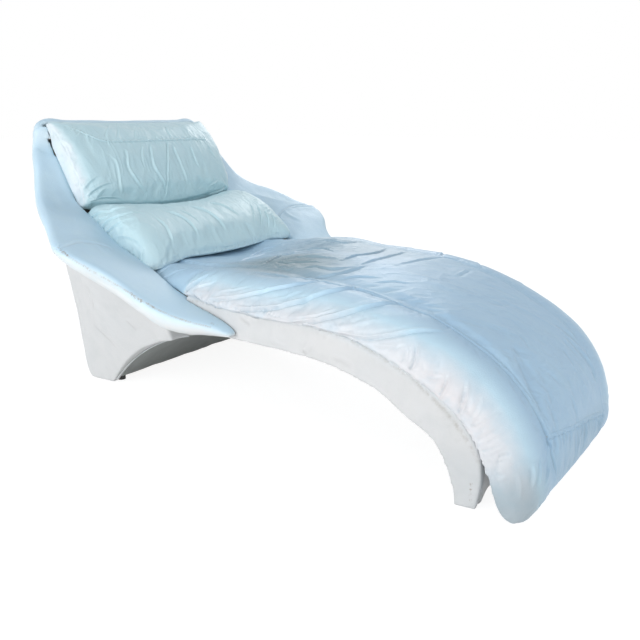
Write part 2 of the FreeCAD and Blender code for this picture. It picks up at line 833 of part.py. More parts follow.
def edges_near(shape, point):
    """Edges along Y that pass through a point of the XZ plane."""
    found = []
    for edge in shape.Edges:
        first, last = [vertex.Point for vertex in (edge.Vertexes[0], edge.Vertexes[-1])]
        flat = Vector(first.x - point[0], 0, first.z - point[1])
        if flat.Length < size.fit_gap and abs(last.y - first.y) > size.rail_half_width / 2:
            found.append(edge)
    return found


heel = (rear_x(size.pedestal_lift), size.pedestal_lift)
pedestal_blank = pedestal_blank.makeFillet(size.pedestal_corner_radius, edges_near(pedestal_blank, heel))
pedestal_blank = pedestal_blank.makeFillet(size.toe_corner_radius, edges_near(pedestal_blank, TOE))
pedestal_cover = pedestal_blank.common(flare).cut(board_slot).cut(arm_loft(gap)).cut(above_seam(gap))
add_pair("pedestal_cover", largest(pedestal_cover.common(rear_zone)))


def rear_slab(thickness, low_z, high_z, half_width):
    corners = [
        (rear_x(low_z), low_z),
        (rear_x(high_z), high_z),
        (rear_x(high_z, thickness), high_z),
        (rear_x(low_z, thickness), low_z),
    ]
    edges = [line_edge(corners[index], corners[(index + 1) % 4]) for index in range(4)]
    return prism(edges, -half_width, half_width)


add_shape("outside_back", rear_slab(
    size.back_panel_thickness, size.pedestal_lift, size.back_height - size.back_panel_drop, board_inner - gap
))


def arch_band(lower, upper, low_z, half_width):
    """Band between two heights above the arch's line, from the pedestal's toe to the foot."""
    inner = arch_edges(lower, low_z)
    outer = arch_edges(upper, low_z)
    closing = [
        Part.makeLine(ends(inner[0])[0], ends(outer[0])[0]),
        Part.makeLine(ends(inner[-1])[1], ends(outer[-1])[1]),
    ]
    return prism(inner + outer + closing, -half_width, half_width)


add_shape("underside_cover", arch_band(
    size.underside_gap, size.underside_gap + size.underside_thickness, size.underside_low_z, board_inner - gap
))


def foot_front(outer, inner, low_z, half_width):
    outer_edges = deck_edges(outer, size.cheek_start_x, low_z)[2:]
    inner_edges = deck_edges(inner, size.cheek_start_x, low_z)[2:]
    closing = [
        Part.makeLine(ends(outer_edges[0])[0], ends(inner_edges[0])[0]),
        Part.makeLine(ends(outer_edges[-1])[1], ends(inner_edges[-1])[1]),
    ]
    return prism(outer_edges + inner_edges + closing, -half_width, half_width)


add_shape("foot_end_cover", foot_front(0, size.edge_pad - gap, size.foot_lift, board_inner - gap))
add_shape("foot_glides", both_sides([foot_glide]))

welt_radius = size.arch_rear_radius - size.welt_diameter / 2 - gap
welt_y = size.rail_half_width - size.welt_diameter
welt_start = arch_start_angle(0, size.pedestal_lift + size.toe_corner_radius)
welt_end = -math.degrees(math.asin((size.arch_rear_x - size.cover_split_x) / size.arch_rear_radius))
welt_path = arc_edge(ARCH_REAR, welt_radius, welt_start, welt_end)
welt_path.translate(Vector(0, welt_y, 0))
welt_first = welt_path.valueAt(welt_path.FirstParameter)
welt_way = welt_path.tangentAt(welt_path.FirstParameter)
welt_ring = Part.Wire([Part.makeCircle(size.welt_diameter / 2, welt_first, welt_way)])
add_pair("welt", Part.Wire([welt_path]).makePipeShell([welt_ring], True, False))


# Roll along the top of the back, between the ears

ROLL_SHARES = [
    # width, height
    (-1.00, 0.30),
    (-0.98, 0.62),
    (-0.94, 0.98),
    (-0.86, 1.19),
    (-0.78, 1.12),
    (-0.54, 1.00),
    (0.00, 0.97),
    (0.54, 1.00),
    (0.78, 1.12),
    (0.86, 1.19),
    (0.94, 0.98),
    (0.98, 0.62),
    (1.00, 0.30),
]
ROLL_BOW_SHARES = (0, 0.28, 0.12, 0)
ROLL_SHOULDER_SHARE = 0.8
ROLL_LEAN_SHARE = 0.264
ROLL_FRONT_SHARE = 0.15


def roll_section(width_share, height_share):
    shoulder = ROLL_SHOULDER_SHARE * height_share * size.roll_height
    corners = [
        (-size.roll_depth, gap),
        (-size.roll_depth + shoulder * ROLL_LEAN_SHARE, shoulder),
        (-shoulder * ROLL_FRONT_SHARE, shoulder),
        (0, gap),
    ]
    return section(corners, ROLL_BOW_SHARES, seam_place(width_share * size.roll_half_width))


top_roll = Part.makeLoft([roll_section(width, height) for width, height in ROLL_SHARES], True, False)


# Back cushion, with a crown that falls away to its edges

BACK_SHARES = [
    # width, thickness, crown, foot set back, top set back
    (-1.00, 0.66, 0.20, 2.2, 0.7),
    (-0.975, 0.86, 0.40, 1.7, 0.3),
    (-0.92, 0.96, 0.62, 1.2, 0.1),
    (-0.78, 1.00, 0.85, 0.7, 0.0),
    (-0.40, 1.00, 1.00, -0.7, 0.0),
    (0.00, 1.00, 1.00, -1.3, 0.0),
    (0.40, 1.00, 1.00, -0.7, 0.0),
    (0.78, 1.00, 0.85, 0.7, 0.0),
    (0.92, 0.96, 0.62, 1.2, 0.1),
    (0.975, 0.86, 0.40, 1.7, 0.3),
    (1.00, 0.66, 0.20, 2.2, 0.7),
]
BACK_END_BOW_SHARE = 0.2


def back_section(shares, grow):
    width, thickness, crown, foot_set_back, top_set_back = shares
    y = width * (size.back_half_width + grow)
    start = size.back_start - grow + foot_set_back * size.back_end_inset
    end = BACK_END + grow - top_set_back * size.back_end_inset
    out = thickness * size.back_edge_thickness + grow
    crown_share = crown * size.back_crown / (BACK_END - size.back_start)
    corners = [(start, gap - grow), (start, out), (end, out), (end, gap - grow)]
    return section(corners, (0, crown_share, BACK_END_BOW_SHARE, 0), back_place(y))


def back_loft(grow=0.0):
    return Part.makeLoft([back_section(shares, grow) for shares in BACK_SHARES], True, False)


add_shape("top_roll", top_roll.cut(back_loft(gap)))
add_shape("back_cushion", back_loft())


# Seat cushion, along the deck and over the foot

SEAT_END = turned(DECK, size.deck_radius - size.seat_end_radius, size.deck_turn)
SEAT_SHARES = [
    # run, half width from the rear's to the full one, thickness, crown, underside
    (0.000, -0.15, 0.30, 0.0, 0.0),
    (0.012, 0.00, 0.52, 0.0, 0.0),
    (0.060, 0.00, 0.58, -0.6, 0.0),
    (0.130, 0.00, 0.60, -1.6, 0.0),
    (0.200, 0.00, 0.70, -2.4, 0.0),
    (0.270, 0.20, 0.90, -1.8, 0.0),
    (0.340, 0.62, 1.02, -0.4, 0.0),
    (0.420, 0.92, 1.05, 0.7, 0.0),
    (0.500, 1.00, 1.03, 1.0, 0.0),
    (0.600, 1.00, 1.00, 1.0, 0.0),
    (0.700, 1.00, 0.98, 1.0, 0.0),
    (0.780, 1.00, 0.97, 1.0, 0.0),
    (0.850, 1.00, 0.96, 1.0, 0.0),
    (0.910, 1.00, 0.96, 1.0, 0.0),
    (0.955, 1.00, 0.95, 1.0, 0.0),
    (0.982, 0.99, 0.93, 0.8, 0.04),
    (1.000, 0.90, 0.82, 0.4, 0.24),
]
SEAT_TUCK_SHARE = 0.14
SEAT_SIDE_SHARE = 0.34
SEAT_SIDE_BOW_SHARE = 0.22
SEAT_SHOULDER_BOW_SHARE = 0.11


def seat_path(run_share):
    """Point on the top line under the seat, and the tilt there, at a share of the way to its end."""
    first_arc = math.radians(size.deck_turn) * size.deck_radius
    end_arc = math.radians(size.seat_end_turn - size.deck_turn) * size.seat_end_radius
    level = size.deck_front_x - size.seat_rear_x
    along = run_share * (level + first_arc + end_arc) - level
    if along < 0:
        return (size.deck_front_x + along, size.deck_height), 0
    if along < first_arc:
        tilt = math.degrees(along / size.deck_radius)
        return turned(DECK, size.deck_radius, tilt), tilt
    tilt = size.deck_turn + math.degrees((along - first_arc) / size.seat_end_radius)
    return turned(SEAT_END, size.seat_end_radius, tilt), tilt


def seat_section(shares, grow):
    run, widening, thickness_share, crown_share, underside_share = shares
    centre, tilt = seat_path(run)
    widened = widening * (size.seat_half_width - size.seat_rear_half_width)
    half_width = size.seat_rear_half_width + widened + grow
    low = size.strip_thickness + gap + underside_share * size.seat_thickness - grow
    high = thickness_share * size.seat_thickness + grow
    side = low + SEAT_SIDE_SHARE * (high - low)
    tuck = SEAT_TUCK_SHARE * size.seat_thickness
    seam = size.seat_seam_half_width * half_width / size.seat_half_width
    crown = crown_share * size.seat_crown / (2 * seam)
    corners = [
        (-half_width + tuck, low),
        (-half_width, side),
        (-seam, high),
        (seam, high),
        (half_width, side),
        (half_width - tuck, low),
    ]
    bows = (
        SEAT_SIDE_BOW_SHARE, SEAT_SHOULDER_BOW_SHARE, crown,
        SEAT_SHOULDER_BOW_SHARE, SEAT_SIDE_BOW_SHARE, 0,
    )
    angle = math.radians(tilt)

    def place(corner):
        return Vector(centre[0] + corner[1] * math.sin(angle), corner[0], centre[1] + corner[1] * math.cos(angle))

    return section(corners, bows, place)


def seat_loft(grow=0.0):
    return Part.makeLoft([seat_section(shares, grow) for shares in SEAT_SHARES], True, False)


add_shape("seat_cushion", seat_loft())
strips = []
for strip_x in (size.seat_bar_x, size.arch_rear_x, size.deck_front_x):
    strips.append(block(
        (strip_x - size.strip_width, -size.seat_seam_half_width, size.deck_height),
        (strip_x, size.seat_seam_half_width, size.deck_height + size.strip_thickness),
    ))
add_shape("grip_strips", Part.makeCompound(strips))


# Lumbar pillow, a roll that lies in the corner of back and seat

PILLOW_SHARES = [
    # width, size, height
    (-1.00, 0.74, 1.07),
    (-0.975, 0.90, 1.06),
    (-0.92, 0.98, 1.045),
    (-0.80, 1.00, 1.03),
    (-0.40, 1.02, 0.97),
    (0.00, 1.03, 0.95),
    (0.40, 1.02, 0.97),
    (0.80, 1.00, 1.03),
    (0.92, 0.98, 1.045),
    (0.975, 0.90, 1.06),
    (1.00, 0.74, 1.07),
]
PILLOW_CORNER_SHARES = [
    # along and out, in shares of the pillow's height on the back and of its reach
    (0.30, 0.00),
    (-0.17, 0.88),
    (-0.12, 1.00),
    (0.985, 0.21),
    (0.985, 0.00),
]
PILLOW_BOW_SHARES = (0.02, 0.2, 0.14, 0, 0)
PILLOW_MIDDLE_SHARES = (0.45, 0.25)


def pillow_section(shares):
    width, scale, height = shares
    corners = []
    for along_share, out_share in PILLOW_CORNER_SHARES:
        along = PILLOW_MIDDLE_SHARES[0] + (along_share - PILLOW_MIDDLE_SHARES[0]) * scale
        out = PILLOW_MIDDLE_SHARES[1] + (out_share - PILLOW_MIDDLE_SHARES[1]) * scale
        if along > PILLOW_MIDDLE_SHARES[0]:
            along *= height
        corners.append((along * size.back_start, max(out * size.pillow_reach, gap)))
    return section(corners, PILLOW_BOW_SHARES, back_place(width * size.pillow_half_width))


pillow = Part.makeLoft([pillow_section(shares) for shares in PILLOW_SHARES], True, False)
pillow = pillow.cut(seat_loft(gap)).cut(back_loft(gap))
add_shape("lumbar_pillow", pillow)


doc.recompute()
for item in doc.Objects:
    if "Invalid" in item.State or "Error" in item.State:
        raise RuntimeError("not built: " + item.Label)
for piece in pieces:
    if piece.Shape.isNull() or not piece.Shape.isValid():
        raise RuntimeError("bad shape: " + piece.Label)

os.makedirs("parts", exist_ok=True)
for piece in pieces:
    piece.Shape.exportStep(os.path.join("parts", piece.Label + ".step"))
whole = Part.makeCompound([piece.Shape for piece in pieces]).BoundBox
print(len(pieces), "pieces,", "x %.0f to %.0f, y %.0f to %.0f, z %.0f to %.0f" % (
    whole.XMin, whole.XMax, whole.YMin, whole.YMax, whole.ZMin, whole.ZMax))
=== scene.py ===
# %% [markdown]
# # A relaxation lounger in pale blue leather
#
# The real lounger is a plywood frame under foam and leather: a long seat cushion runs over an arch
# to the floor, a back cushion and a lumbar pillow lie in the corner of the back, and two broad arms
# sweep round them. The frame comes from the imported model. This lesson dresses it: the soft pieces
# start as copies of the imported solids, the cushions swell as cloth under pressure, and then every
# piece gets its folds.

# %% Load the frame
import json
import math
import random
import time

import bmesh
import bpy
import numpy as np
from mathutils import Euler, Matrix, Vector
from mathutils.bvhtree import BVHTree


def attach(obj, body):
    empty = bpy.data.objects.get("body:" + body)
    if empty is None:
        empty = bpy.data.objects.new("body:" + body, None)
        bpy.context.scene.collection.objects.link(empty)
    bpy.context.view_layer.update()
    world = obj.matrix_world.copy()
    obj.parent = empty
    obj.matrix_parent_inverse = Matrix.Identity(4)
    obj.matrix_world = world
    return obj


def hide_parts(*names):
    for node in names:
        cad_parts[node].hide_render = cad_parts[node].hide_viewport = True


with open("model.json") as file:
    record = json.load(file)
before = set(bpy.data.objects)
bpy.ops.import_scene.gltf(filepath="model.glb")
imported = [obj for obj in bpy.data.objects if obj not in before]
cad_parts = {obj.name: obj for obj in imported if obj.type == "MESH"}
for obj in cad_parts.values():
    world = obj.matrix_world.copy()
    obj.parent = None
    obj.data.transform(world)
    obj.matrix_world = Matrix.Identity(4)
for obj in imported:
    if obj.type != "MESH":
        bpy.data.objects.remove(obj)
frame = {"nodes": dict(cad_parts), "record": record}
nodes = frame["nodes"]
scene = bpy.context.scene
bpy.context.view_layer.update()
started = time.time()

# %% [markdown]
# ## Camera
#
# The photo was taken from the foot end, to the right of the lounger and a little above the back.
# The camera stands at that place, found from the lounger's level lines and mirrored points.

# %% Camera
CAMERA_PLACE = (1.3096, -1.6985, 0.86)
CAMERA_TURN = 36.6
CAMERA_DIP = 16.25
LENS = 38.6
SENSOR_WIDTH = 36

camera_data = bpy.data.cameras.new("camera")
camera_data.lens = LENS
camera_data.sensor_width = SENSOR_WIDTH
camera = bpy.data.objects.new("camera", camera_data)
camera.location = CAMERA_PLACE
camera.rotation_euler = Euler((math.radians(90 - CAMERA_DIP), 0, math.radians(CAMERA_TURN)))
scene.collection.objects.link(camera)
scene.camera = camera
scene.view_settings.view_transform = "Standard"
print("camera at", CAMERA_PLACE)

# %% [markdown]
# ## Light
#
# Soft daylight: a wide lamp on the side of the camera lights the rails and the near arm, a weaker
# one stands beyond the foot, and a third behind draws the highlights along the folds. The world
# fills the shadows, and looks white only to the camera and to reflections.

# %% Lamps
LAMPS = {
    # place, aim, width, power
    "front_lamp": ((-0.2, -3.7, 1.3), (0.0, 0.0, 0.3), 2.4, 74),
    "foot_lamp": ((3.4, -0.6, 1.9), (0.3, 0.0, 0.3), 1.6, 26),
    "back_lamp": ((-1.6, 3.2, 2.4), (0.0, 0.0, 0.4), 1.2, 30),
}

for name, (place, aim, width, power) in LAMPS.items():
    data = bpy.data.lights.new(name, "AREA")
    data.shape = "DISK"
    data.size = width
    data.energy = power
    lamp = bpy.data.objects.new(name, data)
    lamp.location = place
    lamp.rotation_euler = (Vector(aim) - Vector(place)).to_track_quat("-Z", "Y").to_euler()
    scene.collection.objects.link(lamp)
print("lamps:", ", ".join(LAMPS))

# %% [markdown]
# Every shader below is built by add_node, which sets a node's inputs to values or links them to
# other nodes. Colours are red, green and blue shares.

# %% World
WHITE = (1, 1, 1)
FILL_COLOUR = (0.86, 0.93, 1.0)
FILL_STRENGTH = 0.55


def empty_tree(holder):
    """Node tree of a world or a material, with nothing in it."""
    holder.use_nodes = True
    holder.node_tree.nodes.clear()
    return holder.node_tree


def add_node(tree, kind, inputs=None, **settings):
    """Node with its settings. An input is linked to another node's output, or set to a value."""
    node = tree.nodes.new("ShaderNode" + kind)
    for name, value in settings.items():
        setattr(node, name, value)
    for slot, value in (inputs or {}).items():
        if isinstance(value, bpy.types.NodeSocket):
            tree.links.new(value, node.inputs[slot])
        elif node.inputs[slot].type == "RGBA":
            node.inputs[slot].default_value = (*value, 1)
        else:
            node.inputs[slot].default_value = value
    return node


def math_node(tree, operation, *values):
    return add_node(tree, "Math", dict(enumerate(values)), operation=operation).outputs[0]


def seen_directly(tree):
    """Value of 1 for camera, glossy and transmission rays."""
    path = add_node(tree, "LightPath").outputs
    either = math_node(tree, "MAXIMUM", path["Is Camera Ray"], path["Is Glossy Ray"])
    return math_node(tree, "MAXIMUM", either, path["Is Transmission Ray"])


def mixed_output(tree, kind, factor, first, second):
    """Output node that shows a mix of two shaders."""
    mix = add_node(tree, "MixShader", {0: factor, 1: first.outputs[0], 2: second.outputs[0]})
    add_node(tree, kind, {"Surface": mix.outputs[0]})


scene.world = bpy.data.worlds.new("daylight")
tree = empty_tree(scene.world)
fill = add_node(tree, "Background", {"Color": FILL_COLOUR, "Strength": FILL_STRENGTH})
white = add_node(tree, "Background", {"Color": WHITE})
mixed_output(tree, "OutputWorld", seen_directly(tree), fill, white)
print("world: white to the eye, pale blue fill")

# %% Floor
FLOOR_SPAN = 30
FLOOR_COLOUR = (0.9, 0.9, 0.9)
FLOOR_WHITE = 0.72
FLOOR_GLOW = 1.25

floor_mesh = bpy.data.meshes.new("floor")
shape = bmesh.new()
bmesh.ops.create_grid(shape, x_segments=2, y_segments=2, size=FLOOR_SPAN)
shape.to_mesh(floor_mesh)
shape.free()
floor = bpy.data.objects.new("floor", floor_mesh)
scene.collection.objects.link(floor)
floor_finish = bpy.data.materials.new("pale_floor")
tree = empty_tree(floor_finish)
paint = add_node(tree, "BsdfDiffuse", {"Color": FLOOR_COLOUR})
glow = add_node(tree, "Emission", {"Strength": FLOOR_GLOW})
mixed_output(
    tree, "OutputMaterial", math_node(tree, "MULTIPLY", seen_directly(tree), FLOOR_WHITE), paint, glow
)
floor_mesh.materials.append(floor_finish)
print("floor:", 2 * FLOOR_SPAN, "m wide")

# %% [markdown]
# ## Finishes
#
# Three effects come up in several finishes, so each is a node group: the leather's grain, the
# weave of the cloths and the grain of the wood. A group gives a height or a mask, and each
# material feeds it to its own bump and colour.

# %% Node groups
PEBBLE_SCALE = 420
CREASING_SCALE = 95
TIMBER_STRETCH = (1, 0.12, 1)


def new_group(name, values, output):
    """Shader group that turns a place and some values into one value, with its two ends."""
    group = bpy.data.node_groups.new(name, "ShaderNodeTree")
    group.interface.new_socket("Place", in_out="INPUT", socket_type="NodeSocketVector")
    for label, start in values.items():
        socket = group.interface.new_socket(label, in_out="INPUT", socket_type="NodeSocketFloat")
        socket.default_value = start
    group.interface.new_socket(output, in_out="OUTPUT", socket_type="NodeSocketFloat")
    taken = group.nodes.new("NodeGroupInput").outputs
    given = group.nodes.new("NodeGroupOutput").inputs[output]
    return group, taken, given


def noise_node(tree, place, scale, detail, roughness, distortion=0.0):
    sizes = {"Scale": scale, "Detail": detail, "Roughness": roughness, "Distortion": distortion}
    return add_node(tree, "TexNoise", {"Vector": place, **sizes}).outputs["Fac"]


def stretched(tree, place, scales):
    return add_node(tree, "Mapping", {"Vector": place, "Scale": scales}).outputs[0]


grain, taken, given = new_group("leather_grain", {"Pebble": 0.5, "Creasing": 0.5}, "Height")
pebbles = add_node(
    grain, "TexVoronoi", {"Vector": taken["Place"], "Scale": PEBBLE_SCALE}, feature="DISTANCE_TO_EDGE"
)
pebble_height = math_node(
    grain, "MINIMUM", math_node(grain, "MULTIPLY", pebbles.outputs["Distance"], 3.0), 1.0
)
broad = noise_node(grain, taken["Place"], CREASING_SCALE, 4, 0.6, 0.8)
ridged = math_node(grain, "ABSOLUTE", math_node(grain, "SUBTRACT", broad, 0.5))
lines = math_node(grain, "MINIMUM", math_node(grain, "MULTIPLY", ridged, 9.0), 1.0)
coarse = math_node(grain, "MULTIPLY", lines, taken["Creasing"])
grain.links.new(math_node(grain, "MULTIPLY_ADD", pebble_height, taken["Pebble"], coarse), given)

weave, taken, given = new_group("plain_weave", {"Threads": 900}, "Height")
split = add_node(weave, "SeparateXYZ", {0: taken["Place"]}).outputs
upright = math_node(weave, "ADD", split["Y"], split["Z"])
warp, weft = (
    math_node(weave, "SINE", math_node(weave, "MULTIPLY", way, taken["Threads"]))
    for way in (split["X"], upright)
)
weave.links.new(math_node(weave, "MULTIPLY", warp, weft), given)

timber, taken, given = new_group("timber", {"Rings": 40}, "Mask")
long_grain = stretched(timber, taken["Place"], TIMBER_STRETCH)
rings = add_node(
    timber, "TexWave", {"Vector": long_grain, "Scale": taken["Rings"], "Distortion": 5, "Detail": 3},
    wave_type="BANDS", bands_direction="Z",
)
timber.links.new(rings.outputs["Fac"], given)
print("groups:", grain.name, weave.name, timber.name)

# %% [markdown]
# ## The leathers
#
# The hide is one pale leather, greener on the back cushions, and years of use have greyed it in
# places and cracked it to the brown of the hide along the arms' ridges. Its icy blue where it faces
# up is a painted reflection of the sky with painted shade, the warm white of the upright faces is
# painted light, and the grey in the folds is painted shade. Each soft piece carries five attributes
# for this, written with its mesh: painted_sky (how far it faces up), fold (how deep it lies in a
# fold, for the painted shade), wear (how near it is to a rubbed ridge), grime_and_shadow (dirt, and
# a painted shadow under the seat's hem), and dull_and_shade (greyed by use, and painted shade under
# the pillow).

# %% Leather
GRIME_AND_SHADOW_COLOUR = (0.42, 0.40, 0.36)
DULL_AND_SHADE_COLOUR = (0.23, 0.32, 0.36)
HIDE_COLOUR = (0.30, 0.24, 0.19)
CLOUD_SCALE, BLOTCH_SCALE, PATCH_SCALE, FLAKE_SCALE = 3.1, 17, 60, 150
CLOUD_SHARE = 0.5
BLOTCH_SHARE = 0.4
CRACK_DEPTH = 1.6
GRAIN_DEPTH = 0.0007
LEATHER_ROUGHNESS = 0.42
LEATHERS = {
    # facing up (painted sky reflection and shade), halfway, upright (painted light),
    # blotches, folds (painted shade)
    "seat_leather": (
        (0.40, 0.57, 0.72), (0.56, 0.74, 0.84), (0.74, 0.71, 0.71), (0.47, 0.63, 0.73), (0.32, 0.41, 0.47),
    ),
    "back_leather": (
        (0.55, 0.74, 0.79), (0.66, 0.79, 0.83), (0.78, 0.79, 0.82), (0.61, 0.77, 0.79), (0.40, 0.54, 0.56),
    ),
    "arm_leather": (
        (0.54, 0.72, 0.84), (0.66, 0.78, 0.84), (0.78, 0.79, 0.78), (0.60, 0.76, 0.83), (0.44, 0.52, 0.56),
    ),
    "side_leather": (
        (0.60, 0.68, 0.74), (0.66, 0.69, 0.71), (0.70, 0.69, 0.68), (0.59, 0.60, 0.59), (0.42, 0.41, 0.40),
    ),
    "welt_leather": (
        (0.60, 0.66, 0.68), (0.62, 0.66, 0.67), (0.64, 0.66, 0.66), (0.58, 0.61, 0.61), (0.38, 0.38, 0.38),
    ),
}


def attribute_node(tree, name):
    return add_node(tree, "Attribute", attribute_name=name).outputs["Fac"]


def mix_node(tree, factor, first, second):
    """Mix of two colours. Slots 6, 7 and 2 are the colour ones of a node that also mixes values."""
    return add_node(tree, "Mix", {0: factor, 6: first, 7: second}, data_type="RGBA").outputs[2]


def ramp_node(tree, factor, low, high):
    """Value from 0 to 1 as factor goes from low to high."""
    ends = {"From Min": low, "From Max": high}
    return add_node(tree, "MapRange", {"Value": factor, **ends}).outputs["Result"]


def bump_node(tree, height, distance, strength):
    return add_node(tree, "Bump", {"Height": height, "Distance": distance, "Strength": strength}).outputs[0]


def new_material(name):
    """Material with its tree, its shader's inputs and the place that its patterns read."""
    material = bpy.data.materials.new(name)
    tree = empty_tree(material)
    shader = add_node(tree, "BsdfPrincipled")
    add_node(tree, "OutputMaterial", {"Surface": shader.outputs[0]})
    return material, tree, shader.inputs, add_node(tree, "TexCoord").outputs["Object"]


def leather(name, up, middle, upright, blotchy, fold_shade):
    """Leather of five colours, laid over each other by the piece's attributes and by noise."""
    material, tree, shader, place = new_material(name)
    hide = add_node(tree, "Group", {"Place": place, "Pebble": 0.35, "Creasing": 0.55}, node_tree=grain)
    clouds = noise_node(tree, place, CLOUD_SCALE, 4, 0.55)
    blotches = noise_node(tree, place, BLOTCH_SCALE, 3, 0.6)
    patches = ramp_node(tree, noise_node(tree, place, PATCH_SCALE, 4, 0.7), 0.35, 0.62)
    flakes = ramp_node(tree, noise_node(tree, place, FLAKE_SCALE, 4, 0.75, 0.6), 0.5, 0.58)
    cracks = math_node(tree, "MULTIPLY", attribute_node(tree, "wear"), flakes)
    cloudy = math_node(tree, "SUBTRACT", clouds, 0.5)
    # painted_sky_share: how far the piece faces up, moved by cloudy noise, for the painted sky reflection
    # and shade
    painted_sky_share = math_node(tree, "MULTIPLY_ADD", cloudy, CLOUD_SHARE, attribute_node(tree, "painted_sky"))
    layers = (
        # where each colour covers the ones before it
        # painted sky reflection and shade: the halfway and up colours laid over the upright one by facing
        (ramp_node(tree, painted_sky_share, 0.0, 0.5), middle),
        (ramp_node(tree, painted_sky_share, 0.5, 1.0), up),
        (math_node(tree, "MULTIPLY", ramp_node(tree, blotches, 0.45, 0.75), BLOTCH_SHARE), blotchy),
        # greyed by use, and painted shade under the pillow
        (attribute_node(tree, "dull_and_shade"), DULL_AND_SHADE_COLOUR),
        # painted shade in the folds, darkest in the deepest hollows
        (attribute_node(tree, "fold"), fold_shade),
        # dirt along ridges and seams, and a painted shadow line under the seat's hem, broken into patches
        (math_node(tree, "MULTIPLY", attribute_node(tree, "grime_and_shadow"), patches), GRIME_AND_SHADOW_COLOUR),
        (cracks, HIDE_COLOUR),
    )
    colour = upright
    for share, over in layers:
        colour = mix_node(tree, share, colour, over)
    tree.links.new(colour, shader["Base Color"])
    worn = math_node(tree, "MULTIPLY_ADD", blotches, 0.16, LEATHER_ROUGHNESS - 0.08)
    tree.links.new(math_node(tree, "MULTIPLY_ADD", cracks, 0.3, worn), shader["Roughness"])
    height = math_node(tree, "MULTIPLY_ADD", cracks, -CRACK_DEPTH, hide.outputs["Height"])
    tree.links.new(bump_node(tree, height, GRAIN_DEPTH, 0.5), shader["Normal"])
    shader["Specular IOR Level"].default_value = 0.45
    return material


finishes = {name: leather(name, *colours) for name, colours in LEATHERS.items()}
print("leathers:", ", ".join(finishes))

# %% [markdown]
# The hidden pieces have plain finishes that still show what they are: a woven lining, black
# webbing and grip tape, beech and plywood with their grain, zinc on the bolts, and black plastic.

# %% Other finishes
CLOTHS = {
    # colour, shade, threads
    "lining_cloth": ((0.44, 0.46, 0.44), (0.36, 0.37, 0.36), 2400),
    "webbing": ((0.05, 0.05, 0.05), (0.09, 0.08, 0.07), 900),
    "grip_tape": ((0.03, 0.03, 0.03), (0.05, 0.05, 0.05), 1800),
}
WOODS = {
    # light, dark, rings
    "plywood": ((0.62, 0.45, 0.27), (0.45, 0.30, 0.16), 60),
    "beech": ((0.60, 0.38, 0.21), (0.45, 0.26, 0.13), 35),
}
SPECKLED = {
    # colour, shade, scale of the specks, roughness, metallic
    "zinc_steel": ((0.58, 0.59, 0.60), (0.46, 0.47, 0.48), 260, 0.35, 1.0),
    "black_plastic": ((0.02, 0.02, 0.02), (0.05, 0.05, 0.05), 400, 0.55, 0.0),
}
FLECK_STRETCH = (300, 20, 300)


def cloth(name, colour, shade, threads):
    material, tree, shader, place = new_material(name)
    threaded = add_node(tree, "Group", {"Place": place, "Threads": threads}, node_tree=weave)
    blotches = ramp_node(tree, noise_node(tree, place, 14, 4, 0.6), 0.3, 0.7)
    tree.links.new(mix_node(tree, blotches, colour, shade), shader["Base Color"])
    tree.links.new(bump_node(tree, threaded.outputs["Height"], 0.0005, 0.6), shader["Normal"])
    shader["Roughness"].default_value = 0.9
    return material


def wood(name, light, dark, ring_scale):
    material, tree, shader, place = new_material(name)
    ringed = add_node(tree, "Group", {"Place": place, "Rings": ring_scale}, node_tree=timber)
    fleck = noise_node(tree, stretched(tree, place, FLECK_STRETCH), 1.0, 2, 0.5)
    figure = math_node(tree, "MULTIPLY", ringed.outputs["Mask"], fleck)
    tree.links.new(mix_node(tree, figure, light, dark), shader["Base Color"])
    tree.links.new(bump_node(tree, fleck, 0.0003, 0.4), shader["Normal"])
    shader["Roughness"].default_value = 0.6
    return material


def speckled(name, colour, shade, scale, roughness, metallic):
    material, tree, shader, place = new_material(name)
    specks = noise_node(tree, place, scale, 4, 0.6)
    tree.links.new(mix_node(tree, specks, colour, shade), shader["Base Color"])
    tree.links.new(math_node(tree, "MULTIPLY_ADD", specks, 0.2, roughness - 0.1), shader["Roughness"])
    tree.links.new(bump_node(tree, specks, 0.0002, 0.4), shader["Normal"])
    shader["Metallic"].default_value = metallic
    return material


for make, table in ((cloth, CLOTHS), (wood, WOODS), (speckled, SPECKLED)):
    for name, row in table.items():
        finishes[name] = make(name, *row)
print("finishes:", len(finishes))

# %% Dress the frame's own nodes
for part in frame["record"]["subparts"]:
    own = nodes[part["node"]]
    own.data.materials.clear()
    own.data.materials.append(finishes[part["material_slot"]])

# %% [markdown]
# ## Making a soft piece
#
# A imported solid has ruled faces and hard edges. Its copy is remeshed into an even net of quads,
# which has no memory of those edges, and rubbed smooth. Then cloth under pressure swells a cushion
# the way its filling does. Points that rest on something are held, and no point moves further than
# the cap, so the piece stays in the space that its solid holds.

# %% Copy, remesh and relax
FLOOR_GAP = 0.0005


def read_points(piece, field="co"):
    values = np.empty(len(piece.data.vertices) * 3)
    piece.data.vertices.foreach_get(field, values)
    return values.reshape(-1, 3)


def read_normals(piece):
    return read_points(piece, "normal")


def write_points(piece, points):
    piece.data.vertices.foreach_set("co", points.ravel())
    piece.data.update()


def keep_above_floor(piece):
    points = read_points(piece)
    points[:, 2] = np.maximum(points[:, 2], FLOOR_GAP)
    write_points(piece, points)


def take_result(piece):
    """Gives the piece the mesh that its modifiers make, and clears them."""
    depsgraph = bpy.context.evaluated_depsgraph_get()
    final = bpy.data.meshes.new_from_object(piece.evaluated_get(depsgraph), depsgraph=depsgraph)
    old = piece.data
    piece.modifiers.clear()
    piece.data = final
    bpy.data.meshes.remove(old)


def modify(piece, kind, **settings):
    modifier = piece.modifiers.new(kind, kind)
    for name, value in settings.items():
        setattr(modifier, name, value)
    take_result(piece)


def remesh(piece, voxel):
    modify(piece, "REMESH", mode="VOXEL", voxel_size=voxel * 1)


def lighten(piece, share):
    """Leaves a share of the faces, for flat panels that are hardly seen."""
    modify(piece, "DECIMATE", ratio=share)


